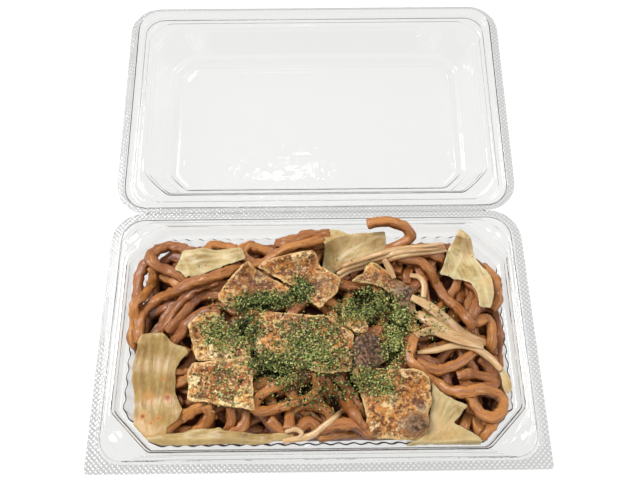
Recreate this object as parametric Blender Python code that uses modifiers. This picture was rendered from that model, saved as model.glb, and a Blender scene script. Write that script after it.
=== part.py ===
"""Stir-fried thick noodles in a clear hinged food box, with the lid lying open behind.

Lengths are in millimetres in this file, and MM turns them into metres where a mesh is made.
The origin is on the underside of the tray, below its middle. +Y points back to the hinge, +Z up.
"""

import math
import random

import bmesh
import bpy
import numpy as np
from mathutils import Euler, Vector
from mathutils.bvhtree import BVHTree

MM = 0.001

# ---- the box ----
FILM = 0.5                     # thickness of the clear sheet
GAP = 0.3                      # space kept between pieces that touch
RIM_Z = 30.0                   # the plane in which tray and lid meet
HALF_WIDTH = 100.0
HINGE_Y = 62.0
TRAY_FRONT = -61.3
LID_DEPTH = 121.5              # from the hinge to the lid's far edge
LID_TILT = 4.4                 # degrees the open lid stands above the flat

# The snap line is where the lid's ridge closes round the tray's bead. Insets count from it.
SNAP_HALF_WIDTH = 96.0
SNAP_FRONT = -57.8
SNAP_BACK = 58.8
CORNER_POINTS = 5

# One row for each ring of the tray: inset, height above the rim plane, corner size, roundness.
TRAY_RINGS = (
    (0.6, 0.0, 11.0, 1.0),
    (1.3, 2.0, 10.5, 1.0),
    (5.3, 2.0, 17.0, 0.0),
    (7.0, -5.0, 16.0, 0.0),
)
FLUTES = 76
FLUTE_DEPTH = 0.8
WALL_TOP = (8.6, -5.2, 15.0)   # inset, height above the rim plane, chamfer
WALL_FOOT = (12.2, -29.35, 14.0)
TRAY_FRONT_CORNER = 1.5        # square tabs
TRAY_BACK_CORNER = 15.0

LID_RINGS = (
    (0.0, 0.0, 11.0, 1.0),
    (0.5, -3.6, 10.5, 1.0),
    (2.6, -3.6, 10.0, 1.0),
    (3.2, -2.9, 10.0, 1.0),
    (8.0, -3.1, 13.0, 0.0),
    (15.5, -18.6, 10.0, 0.0),
    (17.6, -19.4, 9.5, 0.0),
    (20.0, -23.5, 8.0, 0.0),
)
LID_CORNER = 15.0

# ---- the food ----
HEAP_FOOT_INSET = 14.0
HEAP_EDGE_INSET = 10.6
HEAP_EDGE_CUT = 15.0
HEAP_FALL = 2.5                # how suddenly the dome falls to its edge
HEAP_EDGE_Z = 20.5
HEAP_RISE = 9.0                # how far the middle of the core stands over its edge
NOODLE_LAYER = 5.0             # how far over the core a noodle's middle may lie
HEAP_TIERS = (0.84, 0.62, 0.34)
UNDER_NOODLES = 18             # noodles of the lower layer, spread by a rule
UNDER_LENGTH = 46.0
UNDER_SEED = 11
NOODLE_RADIUS = 2.6
NOODLE_SINK = 0.9              # how deep a noodle settles into what it lies on
NOODLE_STEP = 6.0
TUBE_ROUNDNESS = 1             # six sides
NOODLE_ROOM = 3.2              # from a noodle's middle to the tray's step
UNDER_ROOM = 7.5               # the lower noodles stay farther in
STRAND_RADIUS = 1.4
STRAND_STEP = 7.0
SLAB_POINTS = 16
SLAB_TIERS = (0.36, 0.7, 1.0)
PORK_THICKNESS = 2.6
LEAF_THICKNESS = 0.9
SCAN_STEP = 0.8                # spacing of the height readings below a piece
FLAKE_SIZE = (2.8, 2.0, 1.5)
SKY_Z = 150.0

# Routes of the noodles that show, from the bottom of the heap to its top.
NOODLE_ROUTES = (
    ((-79, 37), (-84, 29), (-85, 17), (-86, 5), (-84, -6)),
    ((-52, 42), (-45, 44), (-36, 42), (-30, 43), (-19, 41)),
    ((-20, 45), (-9, 46), (0, 48), (12, 46)),
    ((-36, 37), (-28, 34), (-19, 39), (-8, 43), (5, 47)),
    ((-82, -2), (-80, 10), (-73, 17), (-61, 23), (-50, 25)),
    ((-52, 39), (-62, 43), (-76, 43), (-79, 35), (-70, 30), (-60, 25)),
    ((-69, -1), (-67, 7), (-61, 15), (-50, 21), (-40, 27)),
    ((-65, -6), (-59, 4), (-51, 9), (-42, 17)),
    ((40, 35), (48, 33), (54, 26), (60, 15), (70, 2)),
    ((39, 37), (50, 37), (59, 33), (58, 26), (66, 16), (75, 14)),
    ((72, 9), (80, 9), (83, 1), (82, -10), (76, -22)),
    ((52, -18), (61, -17), (70, -13), (78, -24), (69, -27)),
    ((42, -12), (45, -19), (57, -28), (71, -28), (80, -33), (77, -40), (69, -38)),
    ((82, -44), (74, -46), (66, -41), (62, -34), (64, -25)),
    ((-65, -42), (-58, -38), (-50, -34), (-38, -32)),
    ((-37, -33), (-37, -40), (-46, -45), (-58, -47)),
    ((-2, -20), (-2, -28), (-14, -33), (-27, -36), (-27, -31), (-13, -24)),
    ((-38, -46), (-28, -40), (-16, -45), (-11, -36), (0, -35), (6, -43)),
    ((0, -22), (7, -28), (13, -36), (20, -45), (30, -47)),
    ((-83, 20), (-79, 29), (-71, 30)),
    ((-73, -1), (-74, 8), (-67, 14), (-55, 17), (-45, 17)),
    ((-46, 29), (-51, 25), (-48, 20)),
    ((70, 23), (76, 17), (72, 9), (66, 4)),
    ((76, 30), (82, 22), (83, 12)),
    ((50, 3), (55, -7), (66, -15), (77, -14)),
    ((-62, -22), (-60, -34), (-66, -43)),
    ((-48, -34), (-46, -41), (-52, -47)),
    ((-24, -37), (-22, -43), (-30, -47)),
    ((2, -46), (11, -44), (17, -38), (12, -30)),
    ((56, 4), (52, -6), (46, -14)),
    ((-12, 22), (-4, 8), (-16, 0)),
)

# One noodle stands up in a loop at the back, its ends in the heap: x, y and z of its middle.
STANDING_LOOP = ((23, 42, 28), (27, 45, 31), (34, 46, 34), (40, 45, 34), (44, 42, 33), (42, 38, 31), (36, 37, 28))

# Outlines of the pork slices: each slice lies on the ones before it.
PORK_OUTLINES = (
    ((-32, 33), (-42, 26), (-47, 18), (-40, 11), (-26, 11), (-15, 18), (-22, 27)),
    ((-28, 31), (-14, 37), (-2, 38), (7, 27), (9, 18), (1, 9), (-9, 18)),
    ((-59, 4), (-54, 8), (-45, 7), (-38, 0), (-31, -9), (-53, -9), (-58, -2)),
    ((-55, -12), (-57, -22), (-58, -31), (-46, -34), (-30, -35), (-29, -22), (-31, -11)),
    ((-26, 6), (-10, 8), (8, 4), (16, -3), (15, -18), (0, -20), (-17, -14), (-27, -8)),
    ((15, -17), (32, -17), (46, -20), (50, -31), (46, -45), (30, -49), (19, -44), (21, -31)),
    ((9, 10), (18, 8), (23, 3), (19, -2), (12, 0)),
    ((20, 28), (25, 32), (34, 29), (38, 22), (44, 14), (44, 5), (36, 6), (30, 18), (20, 22)),
    ((17, -3), (27, -2), (31, -9), (28, -16), (19, -16)),
)

# Outlines of the cabbage leaves.
LEAF_OUTLINES = (
    ((-66, 38), (-50, 40), (-35, 39), (-35, 33), (-47, 28), (-61, 25), (-67, 30)),
    ((3, 50), (12, 49), (22, 45), (32, 46), (33, 39), (24, 33), (10, 28), (3, 33), (5, 40)),
    ((72, 46), (64, 40), (60, 32), (60, 26), (70, 23), (74, 16), (79, 11), (81, 19), (76, 30)),
    ((-80, -2), (-70, -1), (-61, -9), (-64, -20), (-61, -34), (-66, -46), (-77, -41), (-81, -24)),
    ((50, -30), (64, -34), (62, -42), (69, -47), (60, -50), (46, -50), (39, -48), (46, -38)),
    ((81, -18), (84, -21), (84, -26), (82, -30), (79, -28)),
)
LEAF_RIB = ((-64, -43), (-52, -45), (-36, -46), (-18, -47), (-2, -47))
LEAF_RIB_RADIUS = 1.9

SPROUT_BAND = ((10, 26), (21, 31), (41, 37), (61, 39))
SPROUT_BAND_OFFSETS = (-2.4, 1.0, 4.4)
SPROUT_ROUTES = (
    ((32, 35), (34, 29), (37, 23)),
    ((45, 27), (50, 23), (50, 14)),
    ((44, 16), (52, 11), (59, 4), (67, -2), (77, -6)),
    ((50, 3), (59, 1), (66, -5), (77, -10)),
    ((49, -3), (57, -5), (64, -9), (76, -13)),
    ((48, -11), (56, -9), (65, -12), (73, -16), (80, -21)),
    ((-10, -47), (-3, -45), (3, -42), (10, -36)),
    ((-14, -42), (-11, -41), (-7, -44)),
)

# Where the green flakes are thick: middle x, middle y, reach x, reach y, number of flakes.
FLAKE_FIELDS = (
    (-22, 17, 16, 6, 10),
    (24, 10, 13, 8, 8),
    (-44, -2, 12, 7, 6),
    (-4, -6, 16, 10, 14),
    (-20, -22, 8, 5, 4),
    (-44, -24, 10, 8, 4),
    (30, -24, 14, 7, 5),
    (-4, -32, 12, 7, 4),
)
FLAKE_SEED = 7


# ---------------------------------------------------------------- small helpers

def clear_scene():
    """Remove whatever the file holds, so the script can be run again."""
    for old in list(bpy.data.objects):
        bpy.data.objects.remove(old, do_unlink=True)
    for old in list(bpy.data.collections):
        bpy.data.collections.remove(old)


def new_collection(name):
    made = bpy.data.collections.new(name)
    bpy.context.scene.collection.children.link(made)
    return made


def material(name, colour, roughness, alpha=1.0):
    made = bpy.data.materials.new(name)
    made.use_nodes = True
    shader = made.node_tree.nodes["Principled BSDF"]
    shader.inputs["Base Color"].default_value = (*colour, 1.0)
    shader.inputs["Roughness"].default_value = roughness
    shader.inputs["Metallic"].default_value = 0.0
    shader.inputs["Alpha"].default_value = alpha
    return made


def add_object(name, data, collection, finish=None):
    made = bpy.data.objects.new(name, data)
    collection.objects.link(made)
    if finish is not None:
        data.materials.clear()
        data.materials.append(finish)
    return made


def mesh_from_bmesh(name, bm):
    bmesh.ops.recalc_face_normals(bm, faces=bm.faces)
    mesh = bpy.data.meshes.new(name)
    bm.to_mesh(mesh)
    bm.free()
    return mesh


def evaluated_mesh(obj):
    """A copy of what the viewport shows of this object."""
    bpy.context.view_layer.update()
    return bpy.data.meshes.new_from_object(obj.evaluated_get(bpy.context.evaluated_depsgraph_get()))


class Ground:
    """The tops of the pieces laid so far, read from above."""

    def __init__(self):
        self.points = []
        self.faces = []
        self.tree = None

    def add(self, obj):
        mesh = evaluated_mesh(obj)
        first = len(self.points)
        self.points += [obj.matrix_world @ vertex.co / MM for vertex in mesh.vertices]
        self.faces += [[first + index for index in face.vertices] for face in mesh.polygons]
        bpy.data.meshes.remove(mesh)
        self.tree = BVHTree.FromPolygons(self.points, self.faces)

    def height(self, x, y):
        hit = self.tree.ray_cast(Vector((x, y, SKY_Z)), Vector((0, 0, -1)))[0]
        return hit.z if hit else 0.0


# ---------------------------------------------------------------- outlines of the box

def corner(tip, heading_in, heading_out, size, roundness):
    """Points round one corner: an arc where roundness is 1, a straight chamfer where it is 0."""
    first = tip - heading_in * size
    last = tip + heading_out * size
    middle = first + heading_out * size
    points = []
    for step in range(CORNER_POINTS):
        part = step / (CORNER_POINTS - 1)
        turn = part * math.pi / 2
        arc = middle - heading_out * size * math.cos(turn) + heading_in * size * math.sin(turn)
        points.append(first.lerp(last, part).lerp(arc, roundness))
    return points


def outline(half_width, front, back, front_corner, back_corner, roundness):
    """A rectangle with rounded or cut corners, counter-clockwise from the right front corner."""
    right, up = Vector((1, 0)), Vector((0, 1))
    points = corner(Vector((half_width, front)), right, up, front_corner, roundness)
    points += corner(Vector((half_width, back)), up, -right, back_corner, roundness)
    points += corner(Vector((-half_width, back)), -right, -up, back_corner, roundness)
    points += corner(Vector((-half_width, front)), -up, right, front_corner, roundness)
    return points


def inset_outline(inset, size, roundness):
    return outline(SNAP_HALF_WIDTH - inset, SNAP_FRONT + inset, SNAP_BACK - inset, size, size, roundness)


def fluted_outline(inset, size, depth):
    """The cut-cornered outline with its wall folded in and out, one fold to each flute."""
    bends = [point for index, point in enumerate(inset_outline(inset, size, 0.0))
             if index % CORNER_POINTS in (0, CORNER_POINTS - 1)]
    lengths = [(bends[(index + 1) % len(bends)] - bend).length for index, bend in enumerate(bends)]
    step = sum(lengths) / (2 * FLUTES)
    points = []
    travelled = 0.0
    for index, bend in enumerate(bends):
        heading = (bends[(index + 1) % len(bends)] - bend).normalized()
        inward = Vector((-heading.y, heading.x))
        while len(points) * step < travelled + lengths[index] - 1e-6:
            fold = depth if len(points) % 2 else 0.0
            points.append(bend + heading * (len(points) * step - travelled) + inward * fold)
        travelled += lengths[index]
    return points


def add_ring(bm, points, z):
    return [bm.verts.new((point.x * MM, point.y * MM, z * MM)) for point in points]


def bridge_rings(bm, outer, inner):
    """Join two rings, one quad to each pair of sides, or with triangles where the counts differ."""
    if len(outer) == len(inner):
        for index in range(len(outer)):
            after = (index + 1) % len(outer)
            bm.faces.new((outer[index], outer[after], inner[after], inner[index]))
        return
    middle_y = (SNAP_FRONT + SNAP_BACK) / 2 * MM

    def bearing(vertex):
        return math.atan2(vertex.co.y - middle_y, vertex.co.x)

    rings = [sorted(ring, key=bearing) for ring in (outer, inner)]
    turns = [[bearing(vertex) for vertex in ring] for ring in rings]
    at = [0, 0]
    while at[0] < len(rings[0]) or at[1] < len(rings[1]):
        ahead = [turns[k][at[k] + 1] if at[k] + 1 < len(rings[k])
                 else turns[k][0] + math.tau + (at[k] - len(rings[k]) + 1) * math.tau for k in (0, 1)]
        move = 0 if ahead[0] <= ahead[1] else 1
        here = [rings[k][at[k] % len(rings[k])] for k in (0, 1)]
        at[move] += 1
        bm.faces.new((here[0], here[1], rings[move][at[move] % len(rings[move])]))


def room_to_step(x, y):
    """How far inside the foot of the tray's step this point lies."""
    inset, _, cut, _ = TRAY_RINGS[-1]
    side = SNAP_HALF_WIDTH - inset - abs(x)
    end = min(y - SNAP_FRONT, SNAP_BACK - y) - inset
    return min(side, end, (side + end - cut) / math.sqrt(2))


def keep_inside(x, y, room):
    """Move a point in from the wall until it has this much room to the step."""
    middle_y = (SNAP_FRONT + SNAP_BACK) / 2
    point = Vector((x, y - middle_y))
    while room_to_step(point.x, point.y + middle_y) < room:
        point *= 0.99
    return point.x, point.y + middle_y


# ---------------------------------------------------------------- the box

def open_film(name, bm, collection, finish):
    """Turn the open surface so that its floor looks up, and thicken it downwards into the sheet."""
    bmesh.ops.recalc_face_normals(bm, faces=bm.faces)
    bm.faces.ensure_lookup_table()
    if bm.faces[-1].normal.z < 0:
        bmesh.ops.reverse_faces(bm, faces=bm.faces)
    mesh = bpy.data.meshes.new(name)
    bm.to_mesh(mesh)
    bm.free()
    shell = add_object(name, mesh, collection, finish)
    sheet = shell.modifiers.new("film", 'SOLIDIFY')
    sheet.thickness = FILM * MM
    sheet.offset = -1
    sheet.use_even_offset = True
    return shell


def make_tray(collection, finish):
    bm = bmesh.new()
    top = RIM_Z - GAP / 2
    rim = outline(HALF_WIDTH, TRAY_FRONT, HINGE_Y - GAP / 2, TRAY_FRONT_CORNER, TRAY_BACK_CORNER, 1.0)
    rings = [add_ring(bm, rim, top)]
    for inset, height, size, roundness in TRAY_RINGS:
        rings.append(add_ring(bm, inset_outline(inset, size, roundness), top + height))
    for inset, height, size in (WALL_TOP, WALL_FOOT):
        rings.append(add_ring(bm, fluted_outline(inset, size, FLUTE_DEPTH), top + height))
    for outer, inner in zip(rings, rings[1:]):
        bridge_rings(bm, outer, inner)
    bm.faces.new(rings[-1])
    return open_film("tray", bm, collection, finish)


def make_lid(collection, finish):
    """The lid in its own frame: the hinge along X at the origin, +Y away from the hinge."""
    bm = bmesh.new()
    rings = [add_ring(bm, outline(HALF_WIDTH, GAP / 2, LID_DEPTH, LID_CORNER, LID_CORNER, 1.0), -GAP / 2)]
    for inset, depth, size, roundness in LID_RINGS:
        ring = outline(SNAP_HALF_WIDTH - inset, HINGE_Y - SNAP_BACK + inset,
                       HINGE_Y - SNAP_FRONT - inset, size, size, roundness)
        rings.append(add_ring(bm, ring, depth - GAP / 2))
    for outer, inner in zip(rings, rings[1:]):
        bridge_rings(bm, outer, inner)
    bm.faces.new(rings[-1])
    hinge = bpy.data.objects.new("lid_hinge", None)
    collection.objects.link(hinge)
    hinge.location = (0, HINGE_Y * MM, RIM_Z * MM)
    lid = open_film("lid", bm, collection, finish)
    lid.parent = hinge
    lid.rotation_euler.x = math.radians(LID_TILT)
    return lid


# ---------------------------------------------------------------- laying food

def smooth_route(points, step):
    """Points at even steps along a smooth curve through the given ones."""
    ends = [2 * Vector(points[0]) - Vector(points[1]), 2 * Vector(points[-1]) - Vector(points[-2])]
    knots = [ends[0]] + [Vector(point) for point in points] + [ends[1]]
    dense = []
    for a, b, c, d in zip(knots, knots[1:], knots[2:], knots[3:]):
        for part in np.linspace(0, 1, 12, endpoint=False):
            dense.append(0.5 * (2 * b + (c - a) * part + (2 * a - 5 * b + 4 * c - d) * part ** 2
                                + (3 * b - a - 3 * c + d) * part ** 3))
    dense.append(knots[-2])
    travelled = np.cumsum([0.0] + [(q - p).length for p, q in zip(dense, dense[1:])])
    count = max(3, round(travelled[-1] / step) + 1)
    wanted = np.linspace(0, travelled[-1], count)
    return [Vector([np.interp(at, travelled, [p[axis] for p in dense]) for axis in range(len(knots[0]))])
            for at in wanted]


def highest_between(ground, first, last, reach):
    """The highest thing below a strip from first to last that reaches this far to both sides."""
    along = last - first
    side = Vector((-along.y, along.x)).normalized()
    count = max(2, math.ceil(along.length / SCAN_STEP))
    across = np.arange(-reach, reach + SCAN_STEP, SCAN_STEP)
    spots = (first + along * part + side * offset for part in np.linspace(0, 1, count) for offset in across)
    return max(ground.height(spot.x, spot.y) for spot in spots)


def lay_tube(name, points, radius, ground, sink, tray_ground=None):
    """A strand that follows its route and lies on whatever is below it.

    With a tray it is a noodle of the heap, which sinks into the others but stays clear of the tray.
    """
    def lift(below, clearance):
        tops = [highest_between(below, p, q, radius + GAP) for p, q in zip(points, points[1:])]
        return [max(tops[max(k - 1, 0)], tops[min(k, len(tops) - 1)]) + clearance for k in range(len(points))]

    heights = lift(ground, radius - sink)
    if tray_ground is not None:
        limits = [core_top(point.x, point.y) + NOODLE_LAYER for point in points]
        heights = [min(pair) for pair in zip(heights, limits)]
        heights = [max(pair) for pair in zip(heights, lift(tray_ground, radius + GAP))]
    return tube(name, [(point.x, point.y, z) for point, z in zip(points, heights)], radius)


def tube(name, points, radius):
    curve = bpy.data.curves.new(name, 'CURVE')
    curve.dimensions = '3D'
    curve.bevel_depth = radius * MM
    curve.bevel_resolution = TUBE_ROUNDNESS
    curve.use_fill_caps = True
    line = curve.splines.new('POLY')
    line.points.add(len(points) - 1)
    for knot, (x, y, z) in zip(line.points, points):
        knot.co = (x * MM, y * MM, z * MM, 1.0)
    return curve


def tube_mesh(name, curve, collection, finish):
    """The curve as a closed mesh object, its end caps welded to its side."""
    guide = add_object(name + "_route", curve, collection)
    mesh = evaluated_mesh(guide)
    bm = bmesh.new()
    bm.from_mesh(mesh)
    bmesh.ops.remove_doubles(bm, verts=bm.verts, dist=0.00001)
    bmesh.ops.recalc_face_normals(bm, faces=bm.faces)
    bm.to_mesh(mesh)
    bm.free()
    bpy.data.objects.remove(guide, do_unlink=True)
    bpy.data.curves.remove(curve)
    return add_object(name, mesh, collection, finish)


def fuse(body, pieces_name):
    """One union of the body with every object of a collection, which is then emptied."""
    pieces = bpy.data.collections[pieces_name]
    union = body.modifiers.new("fuse", 'BOOLEAN')
    union.operation = 'UNION'
    union.operand_type = 'COLLECTION'
    union.collection = pieces
    union.solver = 'MANIFOLD'    # EXACT leaves the crossing noodles touching along an edge
    fused = evaluated_mesh(body)
    body.modifiers.clear()
    body.data = fused
    for piece in list(pieces.objects):
        bpy.data.objects.remove(piece, do_unlink=True)
    keep_outer_shell(body.data)


def keep_outer_shell(mesh):
    """Fill sealed hollows and drop loose scraps: only the largest connected surface stays."""
    bm = bmesh.new()
    bm.from_mesh(mesh)
    unseen = set(bm.verts)
    islands = []
    while unseen:
        stack = [unseen.pop()]
        island = set(stack)
        while stack:
            for edge in stack.pop().link_edges:
                for vertex in edge.verts:
                    if vertex in unseen:
                        unseen.remove(vertex)
                        island.add(vertex)
                        stack.append(vertex)
        islands.append(island)
    islands.sort(key=len)
    for island in islands[:-1]:
        bmesh.ops.delete(bm, geom=list(island), context='VERTS')
    bm.to_mesh(mesh)
    bm.free()


def core_top(x, y):
    """Height of the core here: the dome falls away towards the wall."""
    half_x = SNAP_HALF_WIDTH - HEAP_EDGE_INSET
    half_y = (SNAP_BACK - SNAP_FRONT) / 2 - HEAP_EDGE_INSET
    out_x, out_y = abs(x), abs(y - (SNAP_FRONT + SNAP_BACK) / 2)
    tier = max(out_x / half_x, out_y / half_y, (out_x + out_y) / (half_x + half_y - HEAP_EDGE_CUT))
    return HEAP_EDGE_Z + HEAP_RISE * (1 - min(tier, 1.0) ** HEAP_FALL)


def make_heap_core(collection, finish):
    """The bare mound below the noodles, from the tray's floor to a low dome."""
    middle_y = (SNAP_FRONT + SNAP_BACK) / 2
    bm = bmesh.new()
    foot = inset_outline(HEAP_FOOT_INSET, 14.0, 0.0)
    edge = inset_outline(HEAP_EDGE_INSET, HEAP_EDGE_CUT, 0.0)
    rings = [add_ring(bm, foot, FILM + 0.5), add_ring(bm, edge, HEAP_EDGE_Z)]
    for tier in HEAP_TIERS:
        shrunk = [Vector((point.x * tier, middle_y + (point.y - middle_y) * tier)) for point in edge]
        rings.append(add_ring(bm, shrunk, HEAP_EDGE_Z + HEAP_RISE * (1 - tier ** HEAP_FALL)))
    for outer, inner in zip(rings, rings[1:]):
        bridge_rings(bm, outer, inner)
    bm.faces.new(rings[0])
    bm.faces.new(rings[-1])
    return add_object("noodle_heap", mesh_from_bmesh("noodle_heap", bm), collection, finish)


def under_routes():
    """Routes of the lower noodles: a grid of middles, each noodle with its own heading and bend."""
    rng = random.Random(UNDER_SEED)
    columns = 6
    rows = math.ceil(UNDER_NOODLES / columns)
    for number in range(UNDER_NOODLES):
        column, row = number % columns, number // columns
        x = -70 + 140 * (column + 0.5 * (row % 2)) / (columns - 0.5) + rng.uniform(-4, 4)
        y = -36 + 76 * row / (rows - 1) + rng.uniform(-4, 4)
        heading, bend = rng.uniform(-0.7, 0.7), rng.uniform(-0.03, 0.03)
        route = []
        for part in np.linspace(-0.5, 0.5, 5):
            along = part * UNDER_LENGTH
            turn = heading + bend * along
            route.append((x + along * math.cos(turn), y + along * math.sin(turn)))
        yield route


def make_heap(collection, finish, tray_ground, food_ground):
    core = make_heap_core(collection, finish)
    laid = Ground()
    laid.add(core)
    scratch = new_collection("noodles")
    for number, route in enumerate([*under_routes(), *NOODLE_ROUTES], 1):
        room = UNDER_ROOM if number <= UNDER_NOODLES else NOODLE_ROOM
        points = [Vector(keep_inside(point.x, point.y, room)) for point in smooth_route(route, NOODLE_STEP)]
        name = f"noodle_{number}"
        curve = lay_tube(name, points, NOODLE_RADIUS, laid, NOODLE_SINK, tray_ground)
        laid.add(tube_mesh(name, curve, scratch, finish))
    loop = tube("standing_loop", smooth_route(STANDING_LOOP, NOODLE_STEP), NOODLE_RADIUS)
    tube_mesh("standing_loop", loop, scratch, finish)
    fuse(core, "noodles")
    food_ground.add(core)
    return core


def slab_spots(outline_points):
    """Even points round a hand-drawn outline, its corners kept soft."""
    closed = list(outline_points) + [outline_points[0]]
    sides = [(Vector(q) - Vector(p)).length for p, q in zip(closed, closed[1:])]
    travelled = np.cumsum([0.0] + sides)
    wanted = np.arange(SLAB_POINTS) * travelled[-1] / SLAB_POINTS
    for knot in travelled[:-1]:
        wanted[np.argmin(np.abs(wanted - knot))] = knot
    return [Vector((np.interp(at, travelled, [p[0] for p in closed]),
                    np.interp(at, travelled, [p[1] for p in closed]))) for at in sorted(wanted)]


def lay_slab(name, outline_points, thickness, collection, finish, ground):
    """A slice or leaf draped on what is below it, its two faces split into triangles alike."""
    edge = slab_spots(outline_points)
    middle = sum(edge, Vector((0, 0))) / len(edge)
    spots = [middle] + [middle.lerp(point, tier) for tier in SLAB_TIERS for point in edge]
    count = len(edge)
    triangles = []
    for k in range(count):
        after = (k + 1) % count
        triangles.append((0, 1 + k, 1 + after))
        for tier in range(len(SLAB_TIERS) - 1):
            inner, outer = 1 + tier * count, 1 + (tier + 1) * count
            triangles.append((inner + k, outer + k, outer + after))
            triangles.append((inner + k, outer + after, inner + after))
    heights = [0.0] * len(spots)
    for triangle in triangles:
        a, b, c = (spots[index] for index in triangle)
        steps = max(3, math.ceil(max((b - a).length, (c - a).length, (c - b).length) / SCAN_STEP))
        top = 0.0
        for i in range(steps + 1):
            for j in range(steps + 1 - i):
                spot = a + (b - a) * (i / steps) + (c - a) * (j / steps)
                top = max(top, ground.height(spot.x, spot.y))
        for index in triangle:
            heights[index] = max(heights[index], top + GAP)
    bm = bmesh.new()
    lower = [bm.verts.new((spot.x * MM, spot.y * MM, z * MM)) for spot, z in zip(spots, heights)]
    upper = [bm.verts.new((spot.x * MM, spot.y * MM, (z + thickness) * MM)) for spot, z in zip(spots, heights)]
    for a, b, c in triangles:
        bm.faces.new((upper[a], upper[b], upper[c]))
        bm.faces.new((lower[c], lower[b], lower[a]))
    rim = len(spots) - count
    for k in range(count):
        after = (k + 1) % count
        bm.faces.new((lower[rim + k], lower[rim + after], upper[rim + after], upper[rim + k]))
    return add_object(name, mesh_from_bmesh(name, bm), collection, finish)


def flake_spots():
    """Where the green flakes lie, in their fields, by a seeded draw."""
    rng = random.Random(FLAKE_SEED)
    spots = []
    for x, y, reach_x, reach_y, number in FLAKE_FIELDS:
        for _ in range(number):
            out = math.sqrt(rng.random())
            turn = rng.uniform(0, math.tau)
            spots.append((Vector((x + reach_x * out * math.cos(turn), y + reach_y * out * math.sin(turn))),
                          rng.uniform(0, math.tau)))
    return spots


def make_flake(name, spot, height, turn, collection):
    bm = bmesh.new()
    bmesh.ops.create_cube(bm, size=1.0)
    bmesh.ops.scale(bm, vec=Vector(FLAKE_SIZE) * MM, verts=bm.verts)
    bmesh.ops.rotate(bm, matrix=Euler((0.25, 0.2, turn)).to_matrix(), verts=bm.verts)
    bmesh.ops.translate(bm, vec=Vector((spot.x, spot.y, height)) * MM, verts=bm.verts)
    return add_object(name, mesh_from_bmesh(name, bm), collection)


def fuse_flakes(body, spots, collection, edge_margin=2.4):
    """Fuse a flake to the body at each spot that lies well inside its top."""
    own = Ground()
    own.add(body)
    scratch = new_collection(body.name + "_flakes")
    for number, (spot, turn) in enumerate(spots):
        ring = [spot + Vector((math.cos(a), math.sin(a))) * edge_margin for a in np.linspace(0, math.tau, 8)]
        tops = [own.height(point.x, point.y) for point in ring + [spot]]
        if min(tops) > 0 and max(tops) - min(tops) < 3.0:
            make_flake(f"{body.name}_flake_{number}", spot, tops[-1] + 0.1, turn, scratch)
    if scratch.objects:
        fuse(body, scratch.name)


def main():
    clear_scene()
    box = new_collection("noodle_box")
    clear = material("clear_sheet", (0.93, 0.95, 0.95), 0.08, 0.25)
    sauce_brown = material("sauced_noodle", (0.22, 0.075, 0.03), 0.3)
    pork_tan = material("fried_pork", (0.46, 0.27, 0.13), 0.5)
    leaf_green = material("cabbage", (0.66, 0.62, 0.3), 0.35)
    sprout_cream = material("sprout", (0.68, 0.5, 0.3), 0.3)

    tray = make_tray(box, clear)
    make_lid(box, clear)
    tray_ground, ground = Ground(), Ground()
    tray_ground.add(tray)
    ground.add(tray)
    make_heap(box, sauce_brown, tray_ground, ground)

    def lay_leaves(numbers):
        for number in numbers:
            leaf = lay_slab(f"cabbage_{number}", LEAF_OUTLINES[number - 1], LEAF_THICKNESS, box, leaf_green, ground)
            ground.add(leaf)

    def lay_sprout(number, route):
        points = smooth_route(route, STRAND_STEP)
        name = f"sprout_{number}"
        curve = lay_tube(name, points, STRAND_RADIUS, ground, -GAP)
        ground.add(tube_mesh(name, curve, box, sprout_cream))

    lay_leaves((1, 2, 3, 4, 5, 6))
    rib = lay_tube("cabbage_7", smooth_route(LEAF_RIB, STRAND_STEP), LEAF_RIB_RADIUS, ground, -GAP)
    ground.add(tube_mesh("cabbage_7", rib, box, leaf_green))
    for number, offset in enumerate(SPROUT_BAND_OFFSETS, 1):
        lay_sprout(number, [(x - 0.35 * offset, y + 0.94 * offset) for x, y in SPROUT_BAND])
    flakes = flake_spots()
    for number, slice_outline in enumerate(PORK_OUTLINES, 1):
        pork = lay_slab(f"pork_{number}", slice_outline, PORK_THICKNESS, box, pork_tan, ground)
        fuse_flakes(pork, flakes, box)
        ground.add(pork)
    for number, route in enumerate(SPROUT_ROUTES, len(SPROUT_BAND_OFFSETS) + 1):
        lay_sprout(number, route)
    for scratch in list(bpy.data.collections):
        if not scratch.objects:
            bpy.data.collections.remove(scratch)


main()
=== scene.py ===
# %% [markdown]
# # Stir-fried thick noodles in a clear hinged box
#
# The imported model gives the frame: a clear tray full of food, and a lid that swings on a hinge.
# This lesson dresses that frame. The box becomes thin clear sheet with rounded folds, and the
# food is laid piece by piece, each piece resting on whatever was laid before it.
# Lengths are in millimetres here, and MM turns them into metres where a mesh is made.

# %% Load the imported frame
import math
import random

import bpy
import numpy as np
from mathutils import Matrix, Vector, noise
from mathutils.geometry import delaunay_2d_cdt


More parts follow.
